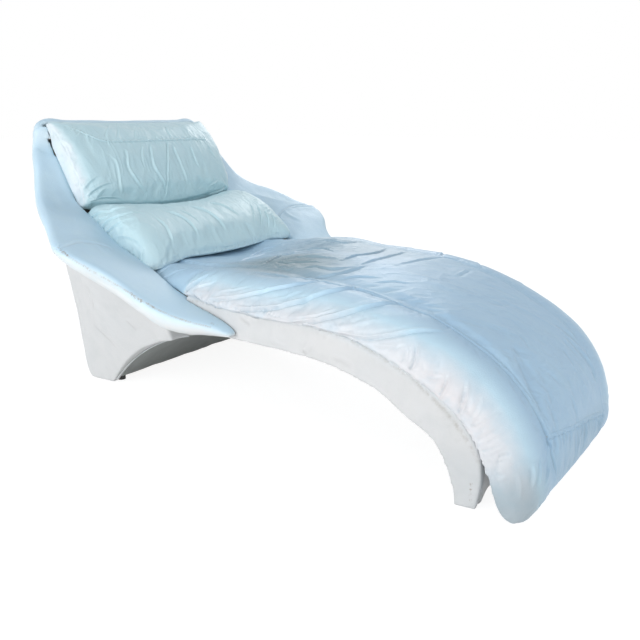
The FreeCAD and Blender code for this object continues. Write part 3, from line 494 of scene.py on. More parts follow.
def subdivide(piece):
    modify(piece, "SUBSURF", levels=1, render_levels=1)


def edit_mesh(mesh, change):
    shape = bmesh.new()
    shape.from_mesh(mesh)
    change(shape)
    shape.to_mesh(mesh)
    shape.free()


def smooth(shape, verts, rounds):
    for _ in range(rounds):
        bmesh.ops.smooth_vert(
            shape, verts=verts, factor=0.5, use_axis_x=True, use_axis_y=True, use_axis_z=True
        )


def relax(piece, rounds):
    edit_mesh(piece.data, lambda shape: smooth(shape, shape.verts, rounds))


def solid_copy(node):
    """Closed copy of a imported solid, named for the soft piece that it becomes."""
    mesh = nodes[node].data.copy()
    mesh.materials.clear()
    piece = bpy.data.objects.new(node + "_soft", mesh)
    scene.collection.objects.link(piece)
    edit_mesh(mesh, lambda shape: bmesh.ops.remove_doubles(shape, verts=shape.verts, dist=1e-5))
    return piece


# %% Swell as cloth
SWELL_FRAMES = 20
CLOTH = {
    "quality": 4, "mass": 0.25, "tension_stiffness": 12, "compression_stiffness": 12,
    "shear_stiffness": 4, "bending_stiffness": 0.5, "vertex_group_mass": "held",
    "use_pressure": True, "uniform_pressure_force": 3.0, "shrink_min": -0.015,
}


def swell(piece, held, cap):
    """Cloth under pressure. Held is 0 to 1 for each point, and the cap bounds how far a point moves."""
    began = time.time()
    before = read_points(piece)
    held = np.round(np.clip(held, 0, 1), 1)
    group = piece.vertex_groups.new(name=CLOTH["vertex_group_mass"])
    for level in np.unique(held):
        group.add(np.flatnonzero(held == level).tolist(), float(level), "REPLACE")
    modifier = piece.modifiers.new("cloth", "CLOTH")
    for name, value in CLOTH.items():
        setattr(modifier.settings, name, value)
    modifier.settings.effector_weights.gravity = 0
    modifier.collision_settings.use_collision = False
    for number in range(1, SWELL_FRAMES + 1):
        scene.frame_set(number)
    take_result(piece)
    scene.frame_set(1)
    piece.vertex_groups.clear()
    moved = read_points(piece) - before
    length = np.linalg.norm(moved, axis=1)
    scale = np.minimum(1, cap / np.maximum(length, 1e-9))
    write_points(piece, before + moved * scale[:, None])
    most, spent = round(length.max() * 1000), round(time.time() - began)
    print("  swelled", piece.name, "most", most, "mm in", spent, "s")


# %% [markdown]
# ## Sculpting folds
#
# Folds are drawn over the photo: a few pixels along each are cast from the camera onto the piece,
# and give a line over its surface. Relief gathers how far each point is lifted, and applies it in
# one go. A fold is a ridge with a valley beside it, as leather buckles. Gathers are many short
# folds that run away from a seam, and ripple is stretched noise, for the creases a body leaves.
#
# A row of a fold table holds its pixels, its width and height in mm, how deep its valley is as a
# share of the height, and the shares of its length over which it rises and dies away.

# %% Lines over a surface
PHOTO_SIZE = 640
MM = 0.001
BATCH = 4000
REFINE_REACH = 0.016
# steps along a line: of most folds, of narrow ones, and of the masks for splitting and for wear
LINE_STEP, FINE_STEP, SPLIT_STEP, WEAR_STEP = 0.004, 0.003, 0.008, 0.006


def pixel_ray(u, v):
    """Direction from the camera through a pixel of the photo."""
    length = LENS / SENSOR_WIDTH * PHOTO_SIZE
    local = Vector(((u - PHOTO_SIZE / 2) / length, (PHOTO_SIZE / 2 - v) / length, -1))
    return (camera.rotation_euler.to_matrix() @ local).normalized()


def smooth_line(points, step=LINE_STEP):
    """Points a step apart along a smooth line through the given ones."""
    points = [np.array(p, float) for p in points]
    padded = [2 * points[0] - points[1]] + points + [2 * points[-1] - points[-2]]
    line = []
    for a, b, c, d in zip(padded, padded[1:], padded[2:], padded[3:]):
        count = max(1, int(np.linalg.norm(c - b) / step))
        for t in np.arange(count) / count:
            bend = (2 * a - 5 * b + 4 * c - d) * t * t + (3 * b - a - 3 * c + d) * t ** 3
            line.append(0.5 * (2 * b + (c - a) * t + bend))
    line.append(points[-1])
    return np.array(line)


def directions(line):
    way = np.gradient(line, axis=0)
    return way / np.maximum(np.linalg.norm(way, axis=1), 1e-9)[:, None]


def soft_step(value):
    """Smooth rise from 0 at 0 to 1 at 1."""
    value = np.clip(value, 0, 1)
    return value * value * (3 - 2 * value)


def rise(value, start, full):
    """0 up to a start and 1 from full on, whichever of them is greater, with a soft step between."""
    return soft_step((value - start) / (full - start))


def bell(value):
    """1 at 0, and hardly anything beyond 2 to either side."""
    return np.exp(-(value ** 2))


def nearest_on_line(points, line):
    """Number of the line's nearest point to each point, and the distance to it."""
    number = np.zeros(len(points), int)
    distance = np.zeros(len(points))
    for start in range(0, len(points), BATCH):
        batch = slice(start, start + BATCH)
        gaps = ((points[batch, None, :] - line[None, :, :]) ** 2).sum(axis=2)
        number[batch] = gaps.argmin(axis=1)
        distance[batch] = np.sqrt(gaps.min(axis=1))
    return number, distance


def round_line(points, line, reach):
    """Numbers of the points in the line's box, made larger by a reach."""
    inside = (points > line.min(axis=0) - reach) & (points < line.max(axis=0) + reach)
    return np.flatnonzero(np.all(inside, axis=1))


def line_mask(points, line, width):
    """1 on a line and 0 further than its width from it."""
    mask = np.zeros(len(points))
    chosen = round_line(points, line, width)
    if len(chosen):
        mask[chosen] = soft_step(1 - nearest_on_line(points[chosen], line)[1] / width)
    return mask


def refine(piece, lines):
    """Splits the faces near the lines, so that their folds can be sharp."""
    points = read_points(piece)
    mask = np.zeros(len(points), bool)
    for line in lines:
        mask |= line_mask(points, smooth_line(line, SPLIT_STEP), REFINE_REACH) > 0

    def split(shape):
        edges = [edge for edge in shape.edges if mask[edge.verts[0].index] and mask[edge.verts[1].index]]
        made = bmesh.ops.subdivide_edges(shape, edges=edges, cuts=1, use_grid_fill=True)
        smooth(shape, [item for item in made["geom_inner"] if isinstance(item, bmesh.types.BMVert)], 2)

    edit_mesh(piece.data, split)


def pull(piece, centre, reach, shift, hand=1):
    """Moves the points round a centre, the nearest ones the most. A hand of -1 mirrors the pull."""
    mirror = np.array([1, hand, 1])
    points = read_points(piece)
    share = soft_step(1 - np.linalg.norm((points - mirror * centre) / np.array(reach), axis=1))
    write_points(piece, points + share[:, None] * (mirror * shift))


def random_grid(points, seed):
    """Smooth noise from -1 to 1 at each point, with cells of 1. Large primes scatter the cells' values."""
    cell = np.floor(points).astype(np.int64)
    part = soft_step(points - cell)

    def corner(dx, dy, dz):
        number = (cell[:, 0] + dx) * 73856093 ^ (cell[:, 1] + dy) * 19349663 ^ (cell[:, 2] + dz) * 83492791
        number = ((number ^ (seed * 2654435) ^ (number >> 13)) * 1274126177) & 0x7FFFFFFF
        return ((number ^ (number >> 9)) % 65536) / 32768.0 - 1

    along_x = [
        corner(0, dy, dz) * (1 - part[:, 0]) + corner(1, dy, dz) * part[:, 0]
        for dz in (0, 1) for dy in (0, 1)
    ]
    along_y = [along_x[k] * (1 - part[:, 1]) + along_x[k + 1] * part[:, 1] for k in (0, 2)]
    return along_y[0] * (1 - part[:, 2]) + along_y[1] * part[:, 2]


# %% Relief
GATHER_WIDTH = 0.0045
GATHER_START = 0.002
MOST_LIFT = 0.014


class Relief:
    """Lifts of a piece's surface, gathered from its folds and then applied along its normals."""

    def __init__(self, piece):
        self.piece = piece
        self.points = read_points(piece)
        self.normals = read_normals(piece)
        self.lift = np.zeros(len(self.points))
        self.surface = BVHTree.FromObject(piece, bpy.context.evaluated_depsgraph_get())

    def draw(self, pixels):
        """The photo's pixels cast onto the piece."""
        hits = [self.surface.ray_cast(camera.location, pixel_ray(u, v))[0] for u, v in pixels]
        return [tuple(hit) for hit in hits if hit is not None]

    def drawn(self, table):
        """Rows of a table, with their pixels cast onto the piece and their mm turned into metres."""
        rows = [(self.draw(row[0]), *(size * MM for size in row[1:3]), *row[3:]) for row in table]
        return [row for row in rows if len(row[0]) > 1]

    def drawn_lines(self, *lines):
        return [row[0] for row in self.drawn([(line,) for line in lines])]

    def on_surface(self, points, step=LINE_STEP):
        """Smooth line through the points and over the surface."""
        line = smooth_line(points, step)
        for _ in range(2):
            line = np.array([self.surface.find_nearest(point)[0] for point in line])
            for _ in range(3):
                if len(line) > 4:
                    line[1:-1] = (line[:-2] + 2 * line[1:-1] + line[2:]) / 4
        return line

    def near(self, line, reach):
        """Points within reach of a line, how far they lie to its right and their share of its length."""
        chosen = round_line(self.points, line, reach)
        if not len(chosen):
            return chosen, None, None
        number, distance = nearest_on_line(self.points[chosen], line)
        kept = distance < reach
        chosen, number = chosen[kept], number[kept]
        way = directions(line)[number]
        offset = self.points[chosen] - line[number]
        side = np.einsum("ij,ij->i", np.cross(way, self.normals[chosen]), offset)
        along = np.einsum("ij,ij->i", way, offset)
        last = max(1, len(line) - 1)
        over = np.hypot(side, np.where((number == 0) | (number == last), along, 0))
        pitch = np.linalg.norm(line[-1] - line[-2]) if len(line) > 1 else 1.0
        share = np.clip(number + np.clip(along / pitch, -0.5, 0.5), 0, last) / last
        return chosen, np.copysign(over, side), share

    def profile(self, points, reach, height_at, start, end, step=LINE_STEP):
        """Adds a lift that depends on the distance to the right of a line, and tapers at its ends."""
        if len(points) < 2:
            return
        chosen, side, share = self.near(self.on_surface(points, step), reach)
        if len(chosen):
            taper = soft_step(share / max(start, 1e-6)) * soft_step((1 - share) / max(end, 1e-6))
            self.lift[chosen] += taper * height_at(side)

    def fold(self, points, width, height, valley, start, end):
        """Sharp ridge with a soft swell to the left of it and a valley to the right."""
        self.profile(
            points, 6 * width,
            lambda side: height * (
                0.50 * bell(side / width) + 0.50 * np.exp(-np.abs(side) / (0.5 * width))
                + 0.40 * bell((side + 2.4 * width) / (2.2 * width))
                - valley * bell((side - 1.7 * width) / width)
            ),
            start, end,
        )

    def crease(self, points, width, depth, start, end):
        """Narrow valley, with its two sides a little raised."""
        self.profile(
            points, 5 * width,
            lambda side: depth * (
                0.35 * bell((np.abs(side) - 2.1 * width) / (1.2 * width))
                - np.exp(-np.abs(side / width) ** 1.3)
            ),
            start, end, FINE_STEP,
        )

    def lap(self, points, width, height, start=0.03, end=0.03):
        """Lapped seam: a flat raised strip with a groove along each edge, the deeper one to its right."""
        groove, groove_place = 2.2 * MM, width / 2 + 2 * MM
        self.profile(
            points, 2.5 * width,
            lambda side: height * (
                soft_step(0.5 + (width / 2 - np.abs(side)) / (2.5 * MM))
                - 1.1 * bell((side - groove_place) / groove) - 0.5 * bell((side + groove_place) / groove)
            ),
            start, end, FINE_STEP,
        )

    def gathers(self, points, spacing, length, height, seed, side=1, slant=0.0, width=GATHER_WIDTH):
        """Short folds that run away from a line, to its right (1), its left (-1) or both (0)."""
        chance = random.Random(seed)
        line = self.on_surface(points, FINE_STEP)
        way = directions(line)
        travelled = np.concatenate([[0], np.cumsum(np.linalg.norm(np.diff(line, axis=0), axis=1))])
        place = spacing * chance.random()
        while place < travelled[-1]:
            number = min(int(np.searchsorted(travelled, place)), len(line) - 1)
            normal = np.array(self.surface.find_nearest(line[number])[1])
            outward = np.cross(way[number], normal) * (side if side else chance.choice((-1, 1)))
            outward = outward + way[number] * (slant + chance.uniform(-0.3, 0.3))
            reach = length * chance.uniform(0.4, 1.3)
            bend = way[number] * reach * chance.uniform(-0.15, 0.15)
            first = line[number] - outward * GATHER_START
            self.fold(
                [first, first + outward * reach * 0.5 + bend, first + outward * reach],
                width * chance.uniform(0.7, 1.5), height * chance.uniform(0.4, 1.2),
                chance.uniform(0.4, 0.9), 0.1, 0.8,
            )
            place += spacing * chance.uniform(0.5, 1.6)

    def ripple(self, axes, length, width, height, seed, where=1.0, ridged=False):
        """Noise creases of a length along the first axis and a width along the two others."""
        place = self.points @ (np.array(axes) / [[length], [width], [width]]).T
        place[:, 1] += random_grid(place * 0.5 + 7, seed + 1) * 1.2
        noise = random_grid(place, seed)
        if ridged:
            noise = (1 - np.abs(noise)) ** 4 - 0.3
        self.lift += noise * height * where

    def apply(self, limit=MOST_LIFT):
        lift = np.clip(self.lift, -limit, limit)
        self.points = self.points + self.normals * lift[:, None]
        write_points(self.piece, self.points)


def on_hand(points, hand):
    """Points of the right side as they are, or mirrored for a hand of -1."""
    return [(x, hand * y, z) for x, y, z in points]


# %% [markdown]
# ## The leather's attributes
#
# They are read by the materials. painted_sky comes from the normals or from the distance to a seam,
# and paints the sky's reflection and the shade by facing. fold, for painted shade in the folds, comes
# from how far a point lies below the average of its neighbourhood, wear and grime_and_shadow are
# drawn along lines, and dull_and_shade is a few soft spots.

# %% Attributes
FULL_FOLD_DEPTH = 2.2 * MM
MOST_FOLD_SHADE = 0.65


def write_attribute(piece, name, values):
    attribute = piece.data.attributes.get(name) or piece.data.attributes.new(name, "FLOAT", "POINT")
    attribute.data.foreach_set("value", np.asarray(values, np.float32))


def neighbour_mean(piece, values, rounds):
    """Values averaged over neighbours, again and again."""
    mesh = piece.data
    edges = np.empty(len(mesh.edges) * 2, np.int64)
    mesh.edges.foreach_get("vertices", edges)
    edges = edges.reshape(-1, 2)
    count = np.bincount(edges.ravel(), minlength=len(mesh.vertices)).astype(float) + 1
    values = np.array(values, float)
    columns = values if values.ndim == 2 else values[:, None]
    for _ in range(rounds):
        total = columns.copy()
        for column in range(columns.shape[1]):
            for one, other in ((0, 1), (1, 0)):
                total[:, column] += np.bincount(edges[:, one], columns[edges[:, other], column], len(count))
        columns = total / count[:, None]
    return columns if values.ndim == 2 else columns[:, 0]


def facing_up(piece, normals, low, high, rounds=12):
    """1 where a smoothed surface looks up, and 0 where it looks down."""
    return rise(neighbour_mean(piece, normals, rounds)[:, 2], low, high)


def finish_leather(piece, slot, painted_sky, rubbed=(), grimy_and_shaded=(), dull_and_shade=()):
    """Writes the attributes and gives the piece its slot, body and material."""
    points = read_points(piece)
    # painted_sky: how far the piece faces up, for the painted sky reflection and shade
    write_attribute(piece, "painted_sky", np.clip(neighbour_mean(piece, painted_sky, 4), 0, 1))
    # fold: painted shade in the folds, from how far a point lies below its neighbours
    normals = neighbour_mean(piece, read_normals(piece), 3)
    hollow = np.einsum("ij,ij->i", neighbour_mean(piece, points, 6) - points, normals)
    write_attribute(piece, "fold", np.clip(hollow / FULL_FOLD_DEPTH, 0, 1) * MOST_FOLD_SHADE)
    # wear is real cracking; grime_and_shadow is dirt along ridges and seams, and a painted shadow under the
    # seat's hem
    for name, lines in (("wear", rubbed), ("grime_and_shadow", grimy_and_shaded)):
        most = np.zeros(len(points))
        for line, width in lines:
            most = np.maximum(most, line_mask(points, smooth_line(line, WEAR_STEP), width))
        write_attribute(piece, name, most)
    # dull_and_shade: greyed by use, and painted shade under the pillow
    greyed = np.zeros(len(points))
    for centre, reach, most in dull_and_shade:
        away = np.linalg.norm((points - np.array(centre)) / np.array(reach), axis=1)
        greyed = np.maximum(greyed, most * soft_step(1.25 * (1 - away)))
    write_attribute(piece, "dull_and_shade", greyed)
    piece.data.materials.clear()
    piece.data.materials.append(finishes[slot])
    piece.data.shade_smooth()
    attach(piece, "root")
    print(piece.name, len(piece.data.polygons), "faces")


# %% [markdown]
# ## Seat cushion
#
# One long cushion of three panels: a wide top panel and two bands that roll down over the sides.
# Lapped seams join them, and a cross seam closes the end over the foot. The filling has sunk where
# people sit, so the near band has slid into long sweeping folds that start at the arm's tip, and
# its lower edge hangs over the rail. The photo shows only the near side. The far side mirrors it,
# fuller and with weaker folds.
#
# First the copy is bent to the shape that the photo shows. rise goes from 0 at one place to 1 at
# another, so each line below says where a bulge starts and where it is full.

# %% Seat shape
SEAT_VOXEL = 0.0068
SEAT_SEAM_Y = 0.226
FAR_SHARE = 0.15
SEAT_CORNER_PULLS = [
    # place, reach, shift: the near corner spreads, and the far one is drawn in
    ((0.86, -0.375, 0.035), (0.12, 0.13, 0.12), (0.030, 0.000, -0.014)),
    ((0.86, 0.375, 0.035), (0.12, 0.13, 0.12), (0.0, -0.014, 0.006)),
]
SEAT_SIDE_PULLS = [
    # under the arm's tip and behind it, on both sides
    ((-0.19, -0.338, 0.364), (0.07, 0.035, 0.022), (0, -0.014, -0.005)),
    ((-0.36, -0.338, 0.385), (0.16, 0.035, 0.05), (0, -0.008, 0)),
]

seat = solid_copy("seat_cushion")
remesh(seat, SEAT_VOXEL)
relax(seat, 8)
points = read_points(seat)
x, y, z = points.T
aside = np.abs(y)
near = np.where(y < 0, 1.0, FAR_SHARE)
rear = rise(x, 0.02, -0.12)
hang = rise(x, 0.50, 0.10)
lower = rise(z, 0.395, 0.375) * rise(aside, 0.30, 0.35)
tight = 1 - 0.7 * rise(x, -0.17, -0.20)
# The bands bulge sideways, and their lower edge hangs out over the rail.
y += np.sign(y) * near * rise(aside, 0.26, 0.32) * (0.006 + 0.005 * rear) * tight
y += np.sign(y) * near * lower * hang * 0.010 * rise(x, -0.17, -0.12)
# The top is fuller beside the arms and on the far side, and sunk where people sit.
crown = rise(z, 0.39, 0.42)
z += 0.008 * near * rear * rise(aside, 0.22, 0.30) * crown
z -= 0.015 * crown * rise(y, -0.02, -0.18) * rise(x, -0.34, -0.14) * rise(x, 0.70, 0.35)
z -= 0.010 * crown * bell((x + 0.05) / 0.15) * bell((y + 0.05) / 0.14)
z += 0.014 * crown * rise(y, 0.08, 0.20) * rise(x, 0.12, -0.02)
# The foot end bulges forward near the floor, and the hem sags.
low_front = rise(x, 0.80, 0.85) * rise(z, 0.11, 0.03)
x += 0.014 * low_front * rise(y, -0.34, -0.26) * rise(y, 0.32, 0.22)
z -= hang * 0.012 * rise(np.abs(y), 0.366, 0.376) * rise(z, 0.42, 0.39)
write_points(seat, points)
for row in SEAT_CORNER_PULLS:
    pull(seat, *row)
for hand in (1, -1):
    for row in SEAT_SIDE_PULLS:
        pull(seat, *row, hand)
points = read_points(seat)
normals = read_normals(seat)
facing_down = rise(normals[:, 2], -0.25, -0.60)
under_foot = rise(points[:, 0], 0.6, 0.7) * rise(normals[:, 0], -0.15, -0.45)
seam_hold = bell((np.abs(points[:, 1]) - SEAT_SEAM_Y) / 0.010) * (normals[:, 2] > -0.2)
most = 0.0035 + 0.0065 * rise(points[:, 1], 0.10, -0.15)
swell(seat, np.maximum(np.maximum(facing_down, under_foot), seam_hold), most)
subdivide(seat)
print("seat:", len(seat.data.polygons), "faces")

# %% Seat seams and folds
SEAT_NEAR_SEAM = [
    (0.02, -0.262, 0.435), (0.12, -0.255, 0.44), (0.25, -0.246, 0.445), (0.394, -0.240, 0.432),
    (0.505, -0.236, 0.410), (0.585, -0.230, 0.384), (0.675, -0.225, 0.348), (0.744, -0.223, 0.306),
    (0.797, -0.220, 0.259), (0.835, -0.216, 0.209), (0.864, -0.208, 0.152), (0.880, -0.203, 0.10),
    (0.886, -0.200, 0.05),
]
SEAT_FAR_SEAM = [(x, min(-y, 0.228), z) for x, y, z in SEAT_NEAR_SEAM]
SEAT_CROSS_SEAM = [
    (0.864, -0.214, 0.152), (0.870, -0.150, 0.140), (0.877, -0.05, 0.123), (0.880, 0.05, 0.106),
    (0.884, 0.15, 0.083), (0.886, 0.206, 0.068),
]
SEAT_HEM = [
    (-0.15, -0.372, 0.362), (0.0, -0.381, 0.366), (0.15, -0.384, 0.367), (0.30, -0.384, 0.364),
    (0.42, -0.384, 0.348), (0.52, -0.384, 0.320), (0.61, -0.384, 0.277), (0.69, -0.384, 0.222),
    (0.745, -0.384, 0.165), (0.785, -0.384, 0.105), (0.80, -0.384, 0.055),
]
SEAT_FOLDS = [
    # over the near band
    ([(177, 296), (186, 289), (195, 282), (214, 271)], 5, 5, 1.6, 0.02, 0.6),
    ([(188, 291), (205, 284), (228, 277)], 4.5, 2, 0.8, 0.2, 0.6),
    ([(152, 277), (164, 269), (184, 263)], 4.5, 2.2, 0.9, 0.2, 0.5),
    ([(157, 281), (172, 273), (190, 268)], 4.5, 2.2, 0.9, 0.2, 0.5),
    ([(206, 299), (226, 297), (246, 294), (277, 287), (294, 284), (319, 282), (334, 284)],
     4.8, 4.2, 1.0, 0.1, 0.3),
    ([(214, 292), (240, 288), (262, 284)], 4.5, 1.8, 0.8, 0.3, 0.5),
    ([(230, 304), (246, 308), (269, 307), (292, 302), (312, 296), (329, 291), (342, 289), (358, 289),
     (377, 294), (400, 303)],
     4.8, 5.8, 1.1, 0.1, 0.35),
    ([(258, 302), (280, 298), (300, 291), (318, 287)], 6, 2, 0.6, 0.4, 0.4),
    ([(262, 315), (285, 321), (304, 320), (329, 316), (348, 311), (365, 306), (380, 303),
      (400, 304), (419, 309)],
     4.8, 5.8, 1.1, 0.12, 0.35),
    ([(288, 319), (310, 316), (330, 311), (348, 306)], 5, 2.2, 0.6, 0.3, 0.4),
    ([(310, 325), (328, 334), (342, 338), (361, 336), (380, 335), (400, 332), (419, 329),
      (440, 330), (455, 333)],
     4.8, 4.6, 1.1, 0.15, 0.4),
    ([(322, 327), (345, 326), (372, 320), (395, 318)], 7, 1.8, 0.5, 0.4, 0.4),
    ([(352, 343), (372, 346), (392, 345), (412, 341)], 5, 2.6, 0.8, 0.3, 0.5),
    ([(420, 371), (434, 375), (448, 374)], 4.5, 2.2, 0.8, 0.3, 0.6),
    ([(419, 341), (418, 352), (416, 362), (412, 372)], 4.5, 3.8, 1.1, 0.35, 0.12),
    ([(408, 344), (408, 353), (404, 366)], 4.5, 2.2, 0.9, 0.4, 0.2),
    ([(450, 371), (449, 381), (446, 390), (441, 399)], 4.5, 3, 1.0, 0.4, 0.12),
    ([(469, 378), (468, 392), (465, 405), (460, 417)], 5, 3.8, 1.1, 0.4, 0.12),
    ([(484, 396), (481, 408), (474, 421)], 5, 2, 0.9, 0.4, 0.2),
    ([(505, 411), (490, 420), (472, 431)], 5, 2, 0.8, 0.5, 0.15),
    ([(512, 428), (495, 436), (477, 445)], 5.5, 2, 0.8, 0.5, 0.15),
    ([(506, 446), (495, 451), (482, 455)], 4.5, 2.6, 0.9, 0.5, 0.12),
    ([(514, 458), (498, 460), (482, 464)], 5, 2.4, 0.8, 0.5, 0.10),
    ([(508, 478), (497, 481), (488, 486)], 6, 1.8, 0.7, 0.5, 0.2),
    ([(532, 462), (535, 474), (532, 492)], 7, 3, 0.8, 0.3, 0.4),
    ([(541, 455), (541, 472), (537, 492)], 5.5, 2.6, 0.9, 0.3, 0.4),
    ([(549, 452), (549, 468), (543, 490)], 5, 2.6, 0.9, 0.3, 0.4),
    ([(518, 470), (521, 486), (519, 505)], 8, 2, 0.6, 0.4, 0.4),
]
SEAT_STREAKS = [
    # over the top panel, where people sit
    ([(246, 257), (262, 250), (277, 245), (292, 241)], 4.2, 3.5, 1.3, 0.3, 0.5),
    ([(258, 266), (277, 257), (300, 251), (316, 248)], 4.2, 3.8, 1.4, 0.3, 0.5),
    ([(268, 268), (279, 262), (289, 263), (308, 261), (329, 263)], 4.2, 3.6, 1.3, 0.3, 0.4),
    ([(272, 262), (281, 267), (290, 270), (298, 266)], 4.2, 1.8, 1.0, 0.3, 0.4),
    ([(290, 258), (315, 257), (342, 259)], 4.2, 3.5, 1.3, 0.3, 0.4),
    ([(296, 270), (316, 267), (333, 269), (362, 265)], 4.2, 3.8, 1.4, 0.3, 0.4),
    ([(306, 277), (330, 275), (350, 270), (371, 263)], 4.8, 3.8, 1.3, 0.3, 0.4),
    ([(300, 250), (323, 248), (337, 252)], 4.2, 3.2, 1.3, 0.3, 0.5),
    ([(334, 263), (354, 256), (377, 252), (387, 248)], 4.2, 3.5, 1.3, 0.3, 0.4),
    ([(352, 268), (372, 260), (396, 254), (410, 251)], 4.5, 2.9, 1.2, 0.3, 0.4),
    ([(386, 268), (418, 260), (453, 256)], 5.5, 2.3, 1.1, 0.4, 0.4),
    ([(452, 277), (462, 272), (470, 268)], 6, 2.6, 1.1, 0.4, 0.4),
    ([(273, 244), (292, 238), (312, 237)], 4.2, 2.9, 1.2, 0.3, 0.5),
    ([(322, 240), (345, 243), (362, 241)], 4.2, 2.6, 1.2, 0.3, 0.5),
    ([(338, 280), (362, 276), (384, 277)], 4.5, 2.6, 1.2, 0.4, 0.4),
    ([(236, 262), (256, 256), (270, 250)], 4.5, 2.6, 1.2, 0.3, 0.4),
    ([(368, 283), (392, 281), (412, 284)], 4.5, 2.3, 1.2, 0.4, 0.4),
]
SEAT_CREASES = [
    # pixels, width and depth in mm, shares over which it deepens and ends
    ([(505, 346), (520, 352), (534, 357)], 8, 1.8, 0.4, 0.4),
    ([(541, 367), (555, 379), (568, 389)], 7, 1.8, 0.4, 0.4),
    ([(560, 345), (569, 358), (577, 370)], 6, 1.8, 0.4, 0.4),
    ([(532, 372), (541, 384), (552, 394)], 7, 1.8, 0.4, 0.4),
    ([(470, 280), (500, 290), (530, 306)], 8, 1.5, 0.4, 0.4),
    ([(512, 330), (524, 340), (530, 352)], 6, 1.5, 0.4, 0.4),
    ([(480, 300), (500, 305), (516, 303)], 7, 1.5, 0.4, 0.4),
    ([(242, 271), (277, 276), (312, 276), (336, 273)], 14, 4, 0.4, 0.4),
]
STREAK = ((0.80, 0.60, 0), (-0.60, 0.80, 0), (0, 0, 1))
OVER_END = ((0.9, 0.3, -0.3), (-0.3, 0.9, 0.2), (0.3, 0, 0.9))
CROSSWISE = ((0.5, 0.6, -0.5), (0.7, -0.2, 0.6), (0.3, -0.7, -0.5))
SEAT_DULL_AND_SHADE = [
    # place, reach, most: the sunk seat, greyed by use and with painted shade under the pillow, and
    # the near corner and the end, darker near the floor
    ((0.04, -0.13, 0.43), (0.32, 0.23, 0.12), 1.0), ((0.04, 0.12, 0.44), (0.42, 0.22, 0.12), 0.50),
    ((0.85, -0.37, 0.02), (0.15, 0.18, 0.15), 0.62), ((0.88, 0.0, 0.06), (0.10, 0.34, 0.09), 0.16),
]

sketch = Relief(seat)
seat_folds, seat_streaks, seat_creases = map(sketch.drawn, (SEAT_FOLDS, SEAT_STREAKS, SEAT_CREASES))
sharp_lines = [row[0] for row in seat_folds] + [SEAT_HEM]
top_lines = [row[0] for row in seat_streaks] + [SEAT_CROSS_SEAM, SEAT_NEAR_SEAM, SEAT_FAR_SEAM]
refine(seat, sharp_lines + [on_hand(line, -1) for line in sharp_lines] + top_lines)
relief = Relief(seat)
for line, width, height, valley, start, end in seat_folds:
    relief.fold(line, width, height, valley, start, end)
    relief.fold(on_hand(line, -1)[::-1], width, 0.45 * height, valley, end, start)
for row in seat_streaks:
    relief.fold(*row)
for row in seat_creases:
    relief.crease(*row)
for hand, seam, gathered, lapped, seed in (
    (1, SEAT_NEAR_SEAM, 0.0010, 0.0020, 3), (-1, SEAT_FAR_SEAM, 0.0003, 0.0009, 4)
):
    hem = on_hand(SEAT_HEM, hand)
    relief.gathers(hem, 0.018, 0.035, 0.0018, seed, side=-hand, slant=0.3, width=0.0042)
    relief.gathers(hem[5:], 0.045, 0.080, 0.0018, seed + 10, side=-hand, slant=0.25, width=0.006)
    relief.gathers(seam[4:], 0.030, 0.030, gathered, seed + 20, side=0, slant=0.3)
    relief.lap(seam[::hand], 0.010, lapped, 0.08, 0.03)
relief.gathers(SEAT_CROSS_SEAM, 0.011, 0.085, 0.0022, 8, slant=-0.15, width=0.0038)
relief.gathers(SEAT_CROSS_SEAM, 0.016, 0.024, 0.0010, 9, side=-1, width=0.004)
relief.lap(SEAT_CROSS_SEAM, 0.009, 0.0013)
x, y, z = relief.points.T
up = relief.normals[:, 2]
sunk = bell((x + 0.05) / 0.19) * rise(np.abs(y), 0.27, 0.19) * (up > 0.3)
on_top = rise(up, 0.1, 0.4) * rise(np.abs(y), 0.225, 0.205)
relief.ripple(STREAK, 0.13, 0.030, 0.0030, 21, where=sunk)
relief.ripple(STREAK, 0.07, 0.013, 0.0030, 22, where=sunk, ridged=True)
relief.ripple(STREAK, 0.16, 0.045, 0.0013, 23, where=on_top)
relief.ripple(OVER_END, 0.12, 0.055, 0.0014, 24, where=on_top, ridged=True)
relief.ripple(STREAK, 0.06, 0.018, 0.0012, 26, where=on_top, ridged=True)
relief.ripple(CROSSWISE, 0.06, 0.026, 0.0006, 25)
relief.apply()
keep_above_floor(seat)
x, y, z = read_points(seat).T
aside = np.abs(y)
# painted_sky: the sky's reflection and shade are painted full on the top panel and fade down the near band,
# which takes the painted light of the upright colour; behind the arm's tip the band stays mostly blue
band_top = [(-0.40, -0.270, 0.42), (-0.20, -0.268, 0.43)] + SEAT_NEAR_SEAM
from_seam = nearest_on_line(np.column_stack([x, -aside, z]), smooth_line(band_top, 0.02))[1]
from_seam *= rise(aside, 0.215, 0.235)
rear_band = rise(x, 0.25, -0.15)
before_arm = rise(x + 0.45 * (aside - 0.35), -0.215, -0.185)
painted_sky = 1 - 0.95 * rise(from_seam + 0.035 * rear_band, 0.025, 0.175) * (0.25 + 0.75 * before_arm)
# the cross seam and the near seam are darkened along their lines
finish_leather(
    seat, "seat_leather", painted_sky, grimy_and_shaded=[(SEAT_CROSS_SEAM, 0.004), (SEAT_NEAR_SEAM, 0.003)], dull_and_shade=SEAT_DULL_AND_SHADE
)
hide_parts("seat_cushion")

# %% [markdown]
# ## Back cushion
#
# A square cushion with a cross seam near its top. The leather hangs from that seam in upright
# folds and bunches up in its lower corners. Its sides bulge over the inner edges of the arms.

